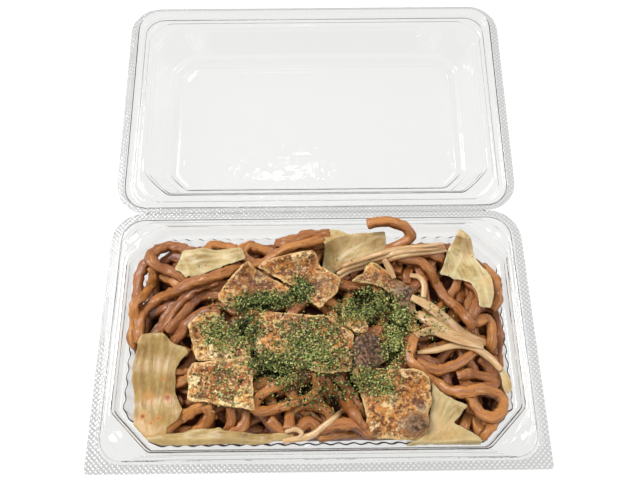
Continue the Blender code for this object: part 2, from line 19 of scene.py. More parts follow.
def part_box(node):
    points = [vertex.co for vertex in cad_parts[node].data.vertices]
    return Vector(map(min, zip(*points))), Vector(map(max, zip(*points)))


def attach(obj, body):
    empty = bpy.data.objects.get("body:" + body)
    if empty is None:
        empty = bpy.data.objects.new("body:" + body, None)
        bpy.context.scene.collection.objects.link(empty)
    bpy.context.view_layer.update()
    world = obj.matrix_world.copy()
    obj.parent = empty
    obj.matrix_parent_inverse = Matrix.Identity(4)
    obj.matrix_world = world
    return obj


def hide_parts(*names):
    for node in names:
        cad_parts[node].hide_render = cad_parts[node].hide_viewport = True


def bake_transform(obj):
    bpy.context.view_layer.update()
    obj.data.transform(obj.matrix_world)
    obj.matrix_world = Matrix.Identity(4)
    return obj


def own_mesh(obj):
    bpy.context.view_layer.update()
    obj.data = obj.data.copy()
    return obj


MM = 0.001
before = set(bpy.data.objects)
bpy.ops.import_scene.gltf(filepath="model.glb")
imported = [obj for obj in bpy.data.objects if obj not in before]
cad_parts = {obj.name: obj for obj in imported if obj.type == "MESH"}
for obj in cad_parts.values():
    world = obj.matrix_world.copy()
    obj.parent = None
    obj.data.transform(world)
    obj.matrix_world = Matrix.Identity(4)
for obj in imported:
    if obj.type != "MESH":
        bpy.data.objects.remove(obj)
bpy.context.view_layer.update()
tray_low, tray_high = (np.array(corner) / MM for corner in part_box("tray"))
heap_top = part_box("noodle_heap")[1][2] / MM
print("tray from", tray_low.round(1), "to", tray_high.round(1), "mm")

# %% [markdown]
# ## The view and the light
#
# The box is seen from above and in front. The camera stands 342 mm up and looks down steeply.
# Clear sheet shows only through what it bends and mirrors, so the room is not evenly white:
# it is bright overhead and greyer low down, and that greyness draws the folds of the sheet.

# %% Camera
EYE = np.array((-0.3, -92.2, 341.6))  # where the camera stands
PITCH, YAW, ROLL = (math.radians(turn) for turn in (66.0, 0.77, 0.11))
LENS = 39.375

forward = Vector((math.sin(YAW) * math.cos(PITCH), math.cos(YAW) * math.cos(PITCH), -math.sin(PITCH)))
level = Vector((math.cos(YAW), -math.sin(YAW), 0.0))
above = level.cross(forward)
right = math.cos(ROLL) * level + math.sin(ROLL) * above
upward = -math.sin(ROLL) * level + math.cos(ROLL) * above
turn = Matrix((right, upward, -forward)).transposed()
camera = bpy.data.objects.new("camera", bpy.data.cameras.new("camera"))
camera.data.lens = LENS
camera.data.sensor_width = 36.0
camera.data.clip_start = 0.01
camera.matrix_world = Matrix.Translation(Vector(EYE) * MM) @ turn.to_4x4()
bpy.context.scene.collection.objects.link(camera)
bpy.context.scene.camera = camera
bpy.context.scene.view_settings.view_transform = "Standard"
print("camera looks along", [round(part, 3) for part in forward])


# %% Small helpers for node trees
def put(tree, kind, inputs=None, **settings):
    """A new node with its settings, its input values and its input links."""
    made = tree.nodes.new(kind)
    for key, value in settings.items():
        setattr(made, key, value)
    for key, value in (inputs or {}).items():
        if isinstance(value, bpy.types.NodeSocket):
            tree.links.new(value, made.inputs[key])
        else:
            made.inputs[key].default_value = value
    return made


def maths(tree, operation, a, b=0.0):
    return put(tree, "ShaderNodeMath", {0: a, 1: b}, operation=operation).outputs[0]


def mixed(tree, share, a, b, kind="MIX"):
    """Two colours mixed. Inputs 6 and 7 of a Mix node are its colours."""
    colours = {6: a if isinstance(a, bpy.types.NodeSocket) else (*a, 1.0),
               7: b if isinstance(b, bpy.types.NodeSocket) else (*b, 1.0)}
    return put(tree, "ShaderNodeMix", {0: share, **colours}, data_type="RGBA", blend_type=kind).outputs[2]


def ranged(tree, value, low, high, to_low=0.0, to_high=1.0):
    """A value stretched from one range to another, with soft ends."""
    return put(tree, "ShaderNodeMapRange", {0: value, 1: low, 2: high, 3: to_low, 4: to_high},
               interpolation_type="SMOOTHSTEP").outputs[0]


def painted(tree, colour, mask, share, shade):
    """The colour with a share of another shade over it, where the mask lets it through."""
    return mixed(tree, maths(tree, "MULTIPLY", mask, share), colour, shade)


def new_finish(name, **plain):
    """A material with its Principled shader, plain values set on the shader's own sockets."""
    made = bpy.data.materials.new(name)
    made.use_nodes = True
    shader = made.node_tree.nodes["Principled BSDF"]
    for key, value in plain.items():
        shader.inputs[key.replace("_", " ").title().replace("Ior", "IOR")].default_value = value
    return made, made.node_tree, shader


# %% Room light and floor
room = bpy.data.worlds.new("room")
bpy.context.scene.world = room
room.use_nodes = True
room_tree = room.node_tree
facing = put(room_tree, "ShaderNodeTexCoord").outputs["Generated"]
height = put(room_tree, "ShaderNodeSeparateXYZ", {0: facing}).outputs[2]
tint = mixed(room_tree, ranged(room_tree, height, 0.05, 0.75), (0.50, 0.50, 0.51), (1.0, 1.0, 1.0))
room_tree.nodes["Background"].inputs["Strength"].default_value = 0.62
room_tree.links.new(tint, room_tree.nodes["Background"].inputs["Color"])


def add_lamp(name, place, aim, size, power, depth=None):
    """A rectangular lamp at a place, turned to its aim. Places are in metres."""
    lamp = bpy.data.lights.new(name, "AREA")
    lamp.shape = "RECTANGLE"
    lamp.size, lamp.size_y = size, depth or size
    lamp.energy = power
    holder = bpy.data.objects.new(name, lamp)
    holder.location = place
    holder.rotation_euler = (Vector(aim) - Vector(place)).to_track_quat("-Z", "Y").to_euler()
    bpy.context.scene.collection.objects.link(holder)


add_lamp("soft_box_left", (-0.55, 0.30, 0.75), (0, 0, 0.02), 0.40, 7.0)
add_lamp("soft_box_right", (0.65, 0.05, 0.70), (0, 0, 0.02), 0.50, 2.5)
add_lamp("strip_mirrored_in_lid", (-0.06, 0.39, 0.86), (-0.01, 0.09, 0.01), 0.12, 0.08, 0.035)

floor_finish = new_finish("white_table", base_color=(0.06, 0.06, 0.06, 1.0), roughness=0.9,
                          emission_color=(1.0, 1.0, 1.0, 1.0), emission_strength=0.96)[0]
table_mesh = bpy.data.meshes.new("table")
table_mesh.from_pydata([(-2, -2, 0), (2, -2, 0), (2, 2, 0), (-2, 2, 0)], [], [(0, 1, 2, 3)])
table_mesh.materials.append(floor_finish)
table = bpy.data.objects.new("table", table_mesh)
bpy.context.scene.collection.objects.link(table)


# %% [markdown]
# ## Shared effects
#
# Every food here has small patches of another colour, and most have a wet, uneven skin. Those
# effects are node groups, made once. Each material places them with its own sizes and strengths.

# %% Node groups: patches, specks and a bumpy skin
def new_group(name, sockets):
    """An empty node group. Sockets are (name, kind, default); a default of None makes an output."""
    group = bpy.data.node_groups.new(name, "ShaderNodeTree")
    for title, kind, default in sockets:
        way = "OUTPUT" if default is None else "INPUT"
        made = group.interface.new_socket(name=title, in_out=way, socket_type=f"NodeSocket{kind}")
        if default is not None and kind == "Float":
            made.default_value = default
    return group, group.nodes.new("NodeGroupInput").outputs, group.nodes.new("NodeGroupOutput").inputs


def per_metre(tree, size):
    """How many features of a size in millimetres fit into one metre."""
    return maths(tree, "DIVIDE", 1.0 / MM, size)


patches, given, wanted = new_group("patches", (
    ("Vector", "Vector", 0), ("Size", "Float", 4.0), ("Low", "Float", 0.45), ("High", "Float", 0.6),
    ("Mask", "Float", None)))
cloud = put(patches, "ShaderNodeTexNoise", {"Vector": given["Vector"], "Scale": per_metre(patches, given["Size"]),
                                            "Detail": 4.0, "Roughness": 0.6})
patches.links.new(ranged(patches, cloud.outputs[0], given["Low"], given["High"]), wanted["Mask"])

specks, given, wanted = new_group("specks", (
    ("Vector", "Vector", 0), ("Spacing", "Float", 1.5), ("Reach", "Float", 0.35), ("Share", "Float", 0.5),
    ("Mask", "Float", None)))
cells = put(specks, "ShaderNodeTexVoronoi", {"Vector": given["Vector"],
                                             "Scale": per_metre(specks, given["Spacing"])})
lot = put(specks, "ShaderNodeSeparateColor", {0: cells.outputs["Color"]}).outputs[0]
near = ranged(specks, cells.outputs["Distance"], given["Reach"], 0.0)
chosen = maths(specks, "LESS_THAN", lot, given["Share"])
specks.links.new(maths(specks, "MULTIPLY", near, chosen), wanted["Mask"])

skin, given, wanted = new_group("bumpy_skin", (
    ("Vector", "Vector", 0), ("Size", "Float", 1.0), ("Depth", "Float", 0.1), ("Normal", "Vector", None)))
grain = put(skin, "ShaderNodeTexNoise", {"Vector": given["Vector"], "Scale": per_metre(skin, given["Size"]),
                                         "Detail": 3.0})
depth = maths(skin, "MULTIPLY", given["Depth"], MM)
skin.links.new(put(skin, "ShaderNodeBump", {"Height": grain.outputs[0], "Distance": depth}).outputs[0],
               wanted["Normal"])


def use(tree, group, **values):
    """Place a shared group in a material. Values are socket names in lower case."""
    inputs = {key.capitalize(): value for key, value in values.items()}
    return put(tree, "ShaderNodeGroup", inputs, node_tree=group).outputs[0]


def patchy(tree, colour, vector, layers):
    """Patches painted over a colour. Each layer is size, low, high, share and shade."""
    for size, low, high, share, shade in layers:
        mask = use(tree, patches, vector=vector, size=size, low=low, high=high)
        colour = painted(tree, colour, mask, share, shade)
    return colour


def speckled(tree, colour, vector, layers):
    """Specks painted over a colour. Each layer is spacing, reach, how many, share and shade."""
    for spacing, reach, some, share, shade in layers:
        mask = use(tree, specks, vector=vector, spacing=spacing, reach=reach, share=some)
        colour = painted(tree, colour, mask, share, shade)
    return colour


def cover(tree, shader, colour, **bumps):
    """Link a colour and a bumpy skin to the shader."""
    tree.links.new(colour, shader.inputs["Base Color"])
    tree.links.new(use(tree, skin, **bumps), shader.inputs["Normal"])


def attribute(tree, name, output="Fac"):
    return put(tree, "ShaderNodeAttribute", attribute_name=name).outputs[output]


def in_object(tree):
    return put(tree, "ShaderNodeTexCoord").outputs["Object"]


def along_run(tree, stretch):
    """The layer called run in metres, as it is and stretched along the grain."""
    run = put(tree, "ShaderNodeVectorMath", {0: attribute(tree, "run", "Vector"), 1: (MM, MM, MM)},
              operation="MULTIPLY").outputs[0]
    return run, put(tree, "ShaderNodeMapping", {"Vector": run, "Scale": (stretch, 1.0, 1.0)}).outputs[0]


def facing_up(tree, low, high):
    """How far a surface faces up. Sides and undersides of a strand come out darker: partly sauce that gathers
    there, partly painted shade.
    """
    facing = put(tree, "ShaderNodeNewGeometry").outputs["Normal"]
    return ranged(tree, put(tree, "ShaderNodeSeparateXYZ", {0: facing}).outputs[2], low, high)


print("shared effects:", [group.name for group in bpy.data.node_groups])

# %% [markdown]
# ## Clear sheet
#
# The box is one clear film, blown into its shape. Glass is the honest choice of shader: it lets
# the light through, mirrors it at a low angle and darkens at the folds. Lamps would throw hard
# shadows through glass, so for shadow rays the material turns into a plain see-through one.


# %% Clear sheet material
KNURL_SIZE, KNURL_DEPTH = 1.6, 0.12
# painted light and shade of the knurl: the darker colour sits in its grooves, the lighter on its ridges
KNURL_GROOVE_SHADE, KNURL_RIDGE_LIGHT = (0.58, 0.58, 0.575), (0.79, 0.79, 0.78)


def clear_finish(name, knurled=False):
    """Clear film, rippled or knurled, with painted shade in a knurl's grooves and painted light on its ridges."""
    made, tree, shader = new_finish(name, base_color=(0.83, 0.83, 0.815, 1.0), roughness=0.03,
                                    ior=1.47, transmission_weight=1.0)
    where = in_object(tree)
    if knurled:
        across = []
        for lean in (45, -45):
            turned = put(tree, "ShaderNodeMapping", {"Vector": where, "Rotation": (0.0, 0.0, math.radians(lean))})
            across.append(put(tree, "ShaderNodeTexWave", {"Vector": turned.outputs[0], "Scale":
                              2.0 / (KNURL_SIZE * MM * math.tau)}).outputs["Fac"])
        relief = maths(tree, "MULTIPLY", *across)
        normal = put(tree, "ShaderNodeBump", {"Height": relief, "Distance": KNURL_DEPTH * MM}).outputs[0]
        # painted shade in the knurl's grooves and painted light on its ridges
        tree.links.new(mixed(tree, relief, KNURL_GROOVE_SHADE, KNURL_RIDGE_LIGHT), shader.inputs["Base Color"])
    else:
        normal = use(tree, skin, vector=where, size=9.0, depth=0.25)
    tree.links.new(normal, shader.inputs["Normal"])
    ray = put(tree, "ShaderNodeLightPath").outputs["Is Shadow Ray"]
    through = put(tree, "ShaderNodeBsdfTransparent", {"Color": (0.97, 0.97, 0.97, 1.0)}).outputs[0]
    both = put(tree, "ShaderNodeMixShader", {0: ray, 1: shader.outputs[0], 2: through}).outputs[0]
    tree.links.new(both, tree.nodes["Material Output"].inputs["Surface"])
    return made


clear_sheet = clear_finish("clear_sheet")
clear_flange = clear_finish("clear_flange", knurled=True)
cut_edge = new_finish("cut_edge", base_color=(0.90, 0.91, 0.91, 1.0), roughness=0.4)[0]

# %% [markdown]
# ## The tray
#
# The tray's wall is a stack of rings, one for each fold of the film, from the flange down to the
# floor. Each fold is then rounded, because film can't be folded sharply, and the wall between
# the ledge and the floor is pleated into flutes, which make the thin film stiff.

# %% Sizes of the tray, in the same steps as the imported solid
FILM = 0.5
HALF_GAP = 0.15  # half the gap between tray and lid, at the hinge and when shut
RIM_Z = 30.0
UPPER = RIM_Z - HALF_GAP  # upper face of the tray's flange
HALF_WIDTH = tray_high[0]
HINGE_Y = tray_high[1] + HALF_GAP
SNAP_HALF_WIDTH, SNAP_FRONT, SNAP_BACK = 96.0, -57.8, 58.8
MIDDLE_Y = (SNAP_FRONT + SNAP_BACK) / 2
PLATEAU_RISE = 2.0  # top of the snap ring over the flange
STEP_INSET, STEP_CORNER = 7.0, 16.0  # foot of the step, in from the snap ring, and its cut corner
LEDGE_DROP, WALL_HEIGHT = 5.2, 24.15  # the ledge below the flange, and the fluted wall below the ledge
FLOOR_DROP = LEDGE_DROP + WALL_HEIGHT
WALL_INSET, WALL_LEAN = 8.6, 3.6  # top of that wall, and how much further in its foot is
FLUTES, FLUTE_DEPTH = 76, 0.8
LONG_SIDE, SHORT_SIDE, CORNER = 176, 100, 16  # points round a ring
FLANGE_SHARES = (0.03, 0.06, 0.5)  # rings that keep the flange flat up to its edge


# %% Rings round the box
def ring(half_width, front, back, front_corner, back_corner, roundness, z):
    """A level ring with rounded or cut corners, always with the same number of points."""
    tips = ((half_width, front), (half_width, back), (-half_width, back), (-half_width, front))
    ways = np.array(((1, 0), (0, 1), (-1, 0), (0, -1)), float)
    sizes = (front_corner, back_corner, back_corner, front_corner)
    part = np.linspace(0, 1, CORNER)[:, None]
    turned = part * math.pi / 2
    bends = []
    for k, (tip, size) in enumerate(zip(tips, sizes)):
        way_in, way_out = ways[k], ways[(k + 1) % 4]
        first, last = np.array(tip) - way_in * size, np.array(tip) + way_out * size
        arc = first + way_out * size * (1 - np.cos(turned)) + way_in * size * np.sin(turned)
        bends.append((first + (last - first) * part) * (1 - roundness) + arc * roundness)
    points = []
    for k, bend in enumerate(bends):
        count = LONG_SIDE if k % 2 else SHORT_SIDE
        along = np.linspace(0, 1, count + 2)[1:-1, None]
        points += [bend, bend[-1] + (bends[(k + 1) % 4][0] - bend[-1]) * along]
    points = np.vstack(points)
    for _ in range(3):  # film takes no sharp corner
        points = (np.roll(points, 1, 0) + 2 * points + np.roll(points, -1, 0)) / 4
    return np.column_stack((points, np.full(len(points), z)))


def snap_ring(inset, height, size, roundness):
    """A ring this far in from the snap ring's outer foot, at a height over the flange."""
    return ring(SNAP_HALF_WIDTH - inset, SNAP_FRONT + inset, SNAP_BACK - inset, size, size, roundness,
                UPPER + height)


def outward(loop):
    """The level direction out of a loop at each of its points."""
    ahead = np.roll(loop, -1, 0) - np.roll(loop, 1, 0)
    return np.column_stack((ahead[:, 1], -ahead[:, 0])) / np.maximum(np.linalg.norm(ahead, axis=1), 1e-6)[:, None]


def pleated(flat_ring):
    """The ring with its wall folded in and out in soft waves."""
    steps = np.linalg.norm(np.roll(flat_ring, -1, 0) - flat_ring, axis=1)
    phase = (np.cumsum(steps) - steps) / steps.sum() * FLUTES * math.tau
    folded = flat_ring.copy()
    folded[:, :2] -= outward(flat_ring[:, :2]) * (FLUTE_DEPTH * (0.5 - 0.5 * np.cos(phase)))[:, None]
    return folded


def between(first, last, shares):
    return [first + (last - first) * share for share in shares]


def rounded_folds(rings, radius, steps=4):
    """Each ring between two others becomes a few, on a small curve round the fold.

    The first ring is the flange's edge, and FLANGE_SHARES adds rings between it and the next.
    """
    result = []
    for before, fold, after in zip(rings, rings[1:], rings[2:]):
        first, last = (fold + way * np.minimum(radius / np.linalg.norm(way, axis=1), 0.45)[:, None]
                       for way in (before - fold, after - fold))
        for part in np.linspace(0, 1, steps):
            result.append((1 - part) ** 2 * first + 2 * part * (1 - part) * fold + part ** 2 * last)
    return [rings[0], *between(rings[0], result[0], FLANGE_SHARES), *result, rings[-1]]


# %% Turn points into objects
def new_object(name, points, faces, finish, **layers):
    """A mesh object from points in millimetres. Layers are values kept at its points."""
    mesh = bpy.data.meshes.new(name)
    mesh.from_pydata((np.asarray(points) * MM).tolist(), [], faces)
    mesh.shade_smooth()
    for key, values in layers.items():
        values = np.asarray(values, np.float32)
        kind, field = ("FLOAT", "value") if values.ndim == 1 else ("FLOAT_VECTOR", "vector")
        mesh.attributes.new(key, kind, "POINT").data.foreach_set(field, values.ravel())
    mesh.materials.append(finish)
    made = bpy.data.objects.new(name, mesh)
    bpy.context.scene.collection.objects.link(made)
    return made


def ring_faces(count, rings):
    """The four-sided faces between neighbouring rings, each of this many points."""
    near = np.arange(count)
    far = (near + 1) % count
    band = np.column_stack((near, far, far + count, near + count))
    return np.vstack([band + k * count for k in range(rings - 1)])


def thick_film(name, rings):
    """The rings as an open film, its floor closed, thickened downwards."""
    count = len(rings[0])
    faces = ring_faces(count, len(rings)).tolist()
    faces.append(((len(rings) - 1) * count + np.arange(count)).tolist())
    shell = new_object(name, np.vstack(rings), faces, clear_sheet)
    for finish in (clear_flange, cut_edge):
        shell.data.materials.append(finish)
    for face in shell.data.polygons[:(1 + len(FLANGE_SHARES)) * count]:
        face.material_index = 1
    sheet = shell.modifiers.new("film", "SOLIDIFY")
    sheet.thickness = FILM * MM
    sheet.offset = -1
    sheet.material_offset_rim = 1
    bpy.context.view_layer.update()
    solid = bpy.data.meshes.new_from_object(shell.evaluated_get(bpy.context.evaluated_depsgraph_get()))
    for face in solid.polygons:
        face.use_smooth = face.material_index < 2  # the cut edge is sharp
    shell.modifiers.clear()
    shell.data = solid
    print(name, "has", len(solid.polygons), "faces")
    return shell


# %% The tray's rings, from the flange inwards
GROOVES, GROOVE_DEPTH = (0.20, 0.28, 0.36, 0.62, 0.70, 0.78), 0.45
plateau_outer = snap_ring(1.3, PLATEAU_RISE, 10.5, 1.0)
plateau_inner = snap_ring(5.3, PLATEAU_RISE, 17.0, 0.0)
grooves = between(plateau_outer, plateau_inner, GROOVES)
for bottom in (1, 4):
    grooves[bottom] = grooves[bottom] - np.array((0, 0, GROOVE_DEPTH))
wall_top = pleated(snap_ring(WALL_INSET, -LEDGE_DROP, 15.0, 0.0))
wall_foot = pleated(snap_ring(WALL_INSET + WALL_LEAN, -FLOOR_DROP, 14.0, 0.0))
tray_rings = rounded_folds([
    ring(HALF_WIDTH, tray_low[1], HINGE_Y - HALF_GAP, 1.5, 15.0, 1.0, UPPER),
    snap_ring(0.6, 0.0, 11.0, 1.0),
    plateau_outer, *grooves, plateau_inner,
    snap_ring(5.8, 0.0, 16.8, 0.0), snap_ring(6.2, -0.3, 16.6, 0.0),
    snap_ring(STEP_INSET, -5.0, STEP_CORNER, 0.0),
    wall_top, *between(wall_top, wall_foot, (0.3, 0.7)), wall_foot,
    snap_ring(16.0, -FLOOR_DROP, 12.0, 0.3),
    snap_ring(18.0, -FLOOR_DROP, 12.0, 0.3),
], 0.7)

# Round bumps in the corners of the plateau hold a closed lid in place.
BUMPS = ((86, -48), (-86, -48), (86, 49), (-86, 49))
BUMP_REACH, BUMP_RISE = 3.6, 0.9
for points in tray_rings:
    for x, y in BUMPS:
        away = np.hypot(points[:, 0] - x, points[:, 1] - y) / BUMP_REACH
        flat = points[:, 2] > UPPER + 1.5
        points[:, 2] += np.where(flat & (away < 1), BUMP_RISE * np.cos(away * math.pi / 2) ** 0.6, 0)

tray = thick_film("clear_tray", tray_rings)
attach(tray, "tray_with_food")
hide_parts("tray")

# %% [markdown]
# ## The lid
#
# The lid is made in the same way, but in its own frame, with the hinge along X. It is then tilted
# and set on the hinge, where it lies open behind the tray. A narrow strip of the same film joins
# the two.

# %% The lid's rings
LID_TILT = math.radians(4.4)
LID_DEPTH = 121.5
LID_FOLDS = ((0.0, 0.0, 11.0, 1.0), (0.5, -3.6, 10.5, 1.0), (2.6, -3.6, 10.0, 1.0), (3.2, -2.9, 10.0, 1.0),
             (4.2, -2.9, 10.5, 0.8), (4.8, -3.5, 11.0, 0.7), (5.4, -2.9, 11.5, 0.6),
             (8.0, -3.1, 13.0, 0.2), (8.9, -5.0, 12.5, 0.2), (9.5, -5.4, 12.0, 0.2),
             (15.5, -18.6, 10.0, 0.2), (17.6, -19.4, 9.5, 0.2), (20.0, -23.5, 8.0, 0.2), (21.2, -23.1, 7.6, 0.2),
             (24.0, -23.7, 7.0, 0.3), (25.5, -23.7, 7.0, 0.3))


def lid_ring(inset, depth, size, roundness):
    return ring(SNAP_HALF_WIDTH - inset, HINGE_Y - SNAP_BACK + inset, HINGE_Y - SNAP_FRONT - inset,
                size, size, roundness, depth - HALF_GAP)


lid_flange = ring(HALF_WIDTH, HALF_GAP, LID_DEPTH, 15.0, 15.0, 1.0, -HALF_GAP)
lid_rings = rounded_folds([lid_flange, *(lid_ring(*fold) for fold in LID_FOLDS)], 0.6)
tilt = np.array(((1, 0, 0), (0, math.cos(LID_TILT), -math.sin(LID_TILT)),
                 (0, math.sin(LID_TILT), math.cos(LID_TILT))))
lid_rings = [points @ tilt.T + np.array((0, HINGE_Y, RIM_Z)) for points in lid_rings]
lid = thick_film("clear_lid", lid_rings)
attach(lid, "lid")
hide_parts("lid")

# %% The hinge strip
STRIP_REACH = 0.55  # to each side of the fold
STRIP_HALF_LENGTH = 84.0
strip_y = np.linspace(-STRIP_REACH, STRIP_REACH, 9)
strip_x = np.linspace(-STRIP_HALF_LENGTH, STRIP_HALF_LENGTH, 43)
strip_points = [(x, HINGE_Y + y, RIM_Z - drop + max(0.0, math.sin(LID_TILT) * y))
                for drop in (0.24, 0.44) for y in strip_y for x in strip_x]
strip_faces = []
columns, rows = len(strip_x), len(strip_y)
grid = np.arange(rows * columns).reshape(rows, columns)
for a in grid[:-1, :-1].ravel().tolist():
    top_face = (a, a + 1, a + columns + 1, a + columns)
    strip_faces += [top_face, tuple(index + rows * columns for index in reversed(top_face))]
edge = np.concatenate((grid[0], grid[1:, -1], grid[-1, -2::-1], grid[-2:0:-1, 0])).tolist()
for a, b in zip(edge, edge[1:] + edge[:1]):
    strip_faces.append((b, a, a + rows * columns, b + rows * columns))
strip = new_object("hinge_strip", strip_points, strip_faces, clear_sheet)
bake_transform(strip)
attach(strip, "tray_with_food")

# %% [markdown]
# ## Laying food
#
# Nothing in a heap floats and nothing passes through its neighbour. A height map does that
# bookkeeping: a grid of half-millimetre cells holds the top of everything laid so far. A new
# piece asks the map how low it can go, and then leaves its own top in the map.
#
# Routes and outlines are drawn as seen by the camera, on a level plane 34 mm up. Once a piece
# knows how high it lies, it slides along the line of sight to that height.

# %% The height map
CELL = 0.5
LEFT, FRONT = -96.0, -60.0
DRAWN_Z = 34.0
CORE_DROP = 7.0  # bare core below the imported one, to leave room for noodles
HEAP_EDGE_Z, HEAP_RISE, HEAP_FALL = 20.5, 9.0, 2.5
HEAP_EDGE_INSET, HEAP_EDGE_CUT = 10.6, 15.0
LEDGE_Z = UPPER - LEDGE_DROP
HEAP_TOP_Z = 41.0
STRAND_RISE, SHEET_RISE = 14.0, 12.0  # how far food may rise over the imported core
LEAF_THICKNESS = 0.8
CORE_ROOM = 2.4  # the core starts this far inside the step
LID_ROOF_Z, LID_ROOF_SLOPE = 30.5, 2.0  # roof over the foot of the step, and how fast it rises inwards


def room_to_step(x, y):
    """How far inside the foot of the tray's step each point lies."""
    side = SNAP_HALF_WIDTH - STEP_INSET - np.abs(x)
    end = np.minimum(y - SNAP_FRONT, SNAP_BACK - y) - STEP_INSET
    return np.minimum(np.minimum(side, end), (side + end - STEP_CORNER) / math.sqrt(2))


def core_height(x, y):
    """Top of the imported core: a low dome that falls away towards the wall."""
    half_x = SNAP_HALF_WIDTH - HEAP_EDGE_INSET
    half_y = (SNAP_BACK - SNAP_FRONT) / 2 - HEAP_EDGE_INSET
    out_x, out_y = np.abs(x), np.abs(y - MIDDLE_Y)
    tier = np.maximum(np.maximum(out_x / half_x, out_y / half_y),
                      (out_x + out_y) / (half_x + half_y - HEAP_EDGE_CUT))
    return HEAP_EDGE_Z + HEAP_RISE * (1 - np.minimum(tier, 1.0) ** HEAP_FALL)


class HeightMap:
    """The top of everything laid so far."""

    def __init__(self):
        self.x = np.arange(LEFT, -LEFT + CELL, CELL)
        self.y = np.arange(FRONT, -FRONT + CELL, CELL)
        x, y = np.meshgrid(self.x, self.y, indexing="ij")
        room = room_to_step(x, y)
        self.z = np.where(room > CORE_ROOM, core_height(x, y) - CORE_DROP, LEDGE_Z)
        self.z[room < 0] = UPPER + PLATEAU_RISE

    def disc(self, reach):
        """The steps from a cell to each cell within reach of it, and how far away they are."""
        span = np.arange(-math.floor(reach / CELL), math.floor(reach / CELL) + 1)
        dx, dy = (grid.ravel() for grid in np.meshgrid(span, span, indexing="ij"))
        away = np.hypot(dx, dy) * CELL
        keep = away <= reach
        return dx[keep], dy[keep], away[keep]

    def cells(self, x, y, dx=0, dy=0):
        column = np.rint((np.asarray(x)[..., None] - LEFT) / CELL).astype(int) + dx
        row = np.rint((np.asarray(y)[..., None] - FRONT) / CELL).astype(int) + dy
        return np.clip(column, 0, len(self.x) - 1), np.clip(row, 0, len(self.y) - 1)

    def top(self, x, y, reach=0.0):
        """The highest top within reach of each point."""
        dx, dy, _ = self.disc(reach)
        return self.z[self.cells(x, y, dx, dy)].max(-1)

    def rest(self, x, y, radius):
        """Where the middle of a ball of this radius comes to rest."""
        dx, dy, away = self.disc(radius)
        return (self.z[self.cells(x, y, dx, dy)] + np.sqrt(radius ** 2 - away ** 2)).max(-1)

    def leave_tube(self, path, radius):
        dx, dy, away = self.disc(radius)
        tops = path[:, 2][:, None] + np.sqrt(radius ** 2 - away ** 2)
        np.maximum.at(self.z, self.cells(path[:, 0], path[:, 1], dx, dy), tops)

    def leave_points(self, points):
        np.maximum.at(self.z, self.cells(points[:, 0], points[:, 1], *self.disc(CELL)[:2]), points[:, 2][:, None])


ground = HeightMap()
print("height map of", ground.z.shape, "cells")


# %% Routes
def travelled_along(line):
    return np.concatenate(([0.0], np.cumsum(np.linalg.norm(np.diff(line, axis=0), axis=1))))


def even_steps(line, step):
    travelled = travelled_along(line)
    wanted = np.linspace(0, travelled[-1], max(4, round(travelled[-1] / step) + 1))
    return np.stack([np.interp(wanted, travelled, line[:, axis]) for axis in range(line.shape[1])], axis=1)


def smooth_curve(points, step):
    """Points at even steps along a smooth curve through the given ones."""
    knots = np.array(points, float)
    knots = np.vstack((2 * knots[0] - knots[1], knots, 2 * knots[-1] - knots[-2]))
    part = np.linspace(0, 1, 16, endpoint=False)[:, None]
    dense = [0.5 * (2 * b + (c - a) * part + (2 * a - 5 * b + 4 * c - d) * part ** 2
                    + (3 * b - a - 3 * c + d) * part ** 3)
             for a, b, c, d in zip(knots, knots[1:], knots[2:], knots[3:])]
    return even_steps(np.vstack((*dense, knots[-2:-1])), step)


def slide(spots, z):
    """Drawn spots moved along the line of sight to the height at which they lie."""
    share = (EYE[2] - np.asarray(z)) / (EYE[2] - DRAWN_Z)
    return EYE[:2] + (spots - EYE[:2]) * np.reshape(share, (-1, 1))


def keep_inside(spots, room):
    """Move spots in from the wall until they have this much room to the step."""
    side = SNAP_HALF_WIDTH - STEP_INSET - room
    low, high = SNAP_FRONT + STEP_INSET + room, SNAP_BACK - STEP_INSET - room
    spots = np.column_stack((np.clip(spots[:, 0], -side, side), np.clip(spots[:, 1], low, high)))
    for _ in range(60):
        tight = room_to_step(spots[:, 0], spots[:, 1]) < room
        if not tight.any():
            break
        spots[tight, 0] *= 0.994
        spots[tight, 1] = MIDDLE_Y + (spots[tight, 1] - MIDDLE_Y) * 0.994
    return spots


def roof(x, y, above_heap):
    """The highest that food may reach: a dome over the heap, and lower near the wall, under the lid."""
    dome = np.minimum(core_height(x, y) + above_heap, HEAP_TOP_Z)
    return np.minimum(dome, LID_ROOF_Z + LID_ROOF_SLOPE * room_to_step(x, y))


def settle(spots, radius, sink, stiffness, above_heap=STRAND_RISE):
    """Lay a strand on the map. It bridges small gaps, as far as its stiffness goes."""
    rest = ground.rest(spots[:, 0], spots[:, 1], radius) - sink
    rest = np.minimum(rest, roof(spots[:, 0], spots[:, 1], above_heap) - LEAF_THICKNESS - radius)
    z = rest.copy()
    for _ in range(stiffness):
        z[1:-1] = np.maximum(rest[1:-1], (z[:-2] + z[2:]) / 2)
    for _ in range(4):
        z[1:-1] = (z[:-2] + 2 * z[1:-1] + z[2:]) / 4
    return z


# %% [markdown]
# ## Strands
#
# Noodles and sprouts are tubes swept along a route. The cross-section of a cut noodle is a
# rounded square, and its frame is carried along without spinning, so it never kinks. Every tube
# keeps a layer called run, which counts millimetres along and around it: grain and streaks in
# the material follow it.

# %% Sweep a strand
class Bundle:
    """Strands or flakes that are gathered into one mesh."""

    def __init__(self):
        self.points, self.faces, self.run, self.tone, self.count = [], [], [], [], 0

    def add(self, points, face_sets, run, tone):
        self.points.append(points)
        for faces in face_sets:
            self.faces += (np.asarray(faces) + self.count).tolist()
        self.run.append(run)
        self.tone.append(np.broadcast_to(tone, len(points)))
        self.count += len(points)

    def add_strand(self, path, half_width, half_height, tone, **shape):
        self.add(*sweep(path, half_width, half_height, **shape), tone)

    def make(self, name, finish):
        made = new_object(name, np.vstack(self.points), self.faces, finish,
                          run=np.vstack(self.run), tone=np.concatenate(self.tone))
        print(name, "has", sum(len(face) - 2 for face in self.faces), "triangles")
        return made


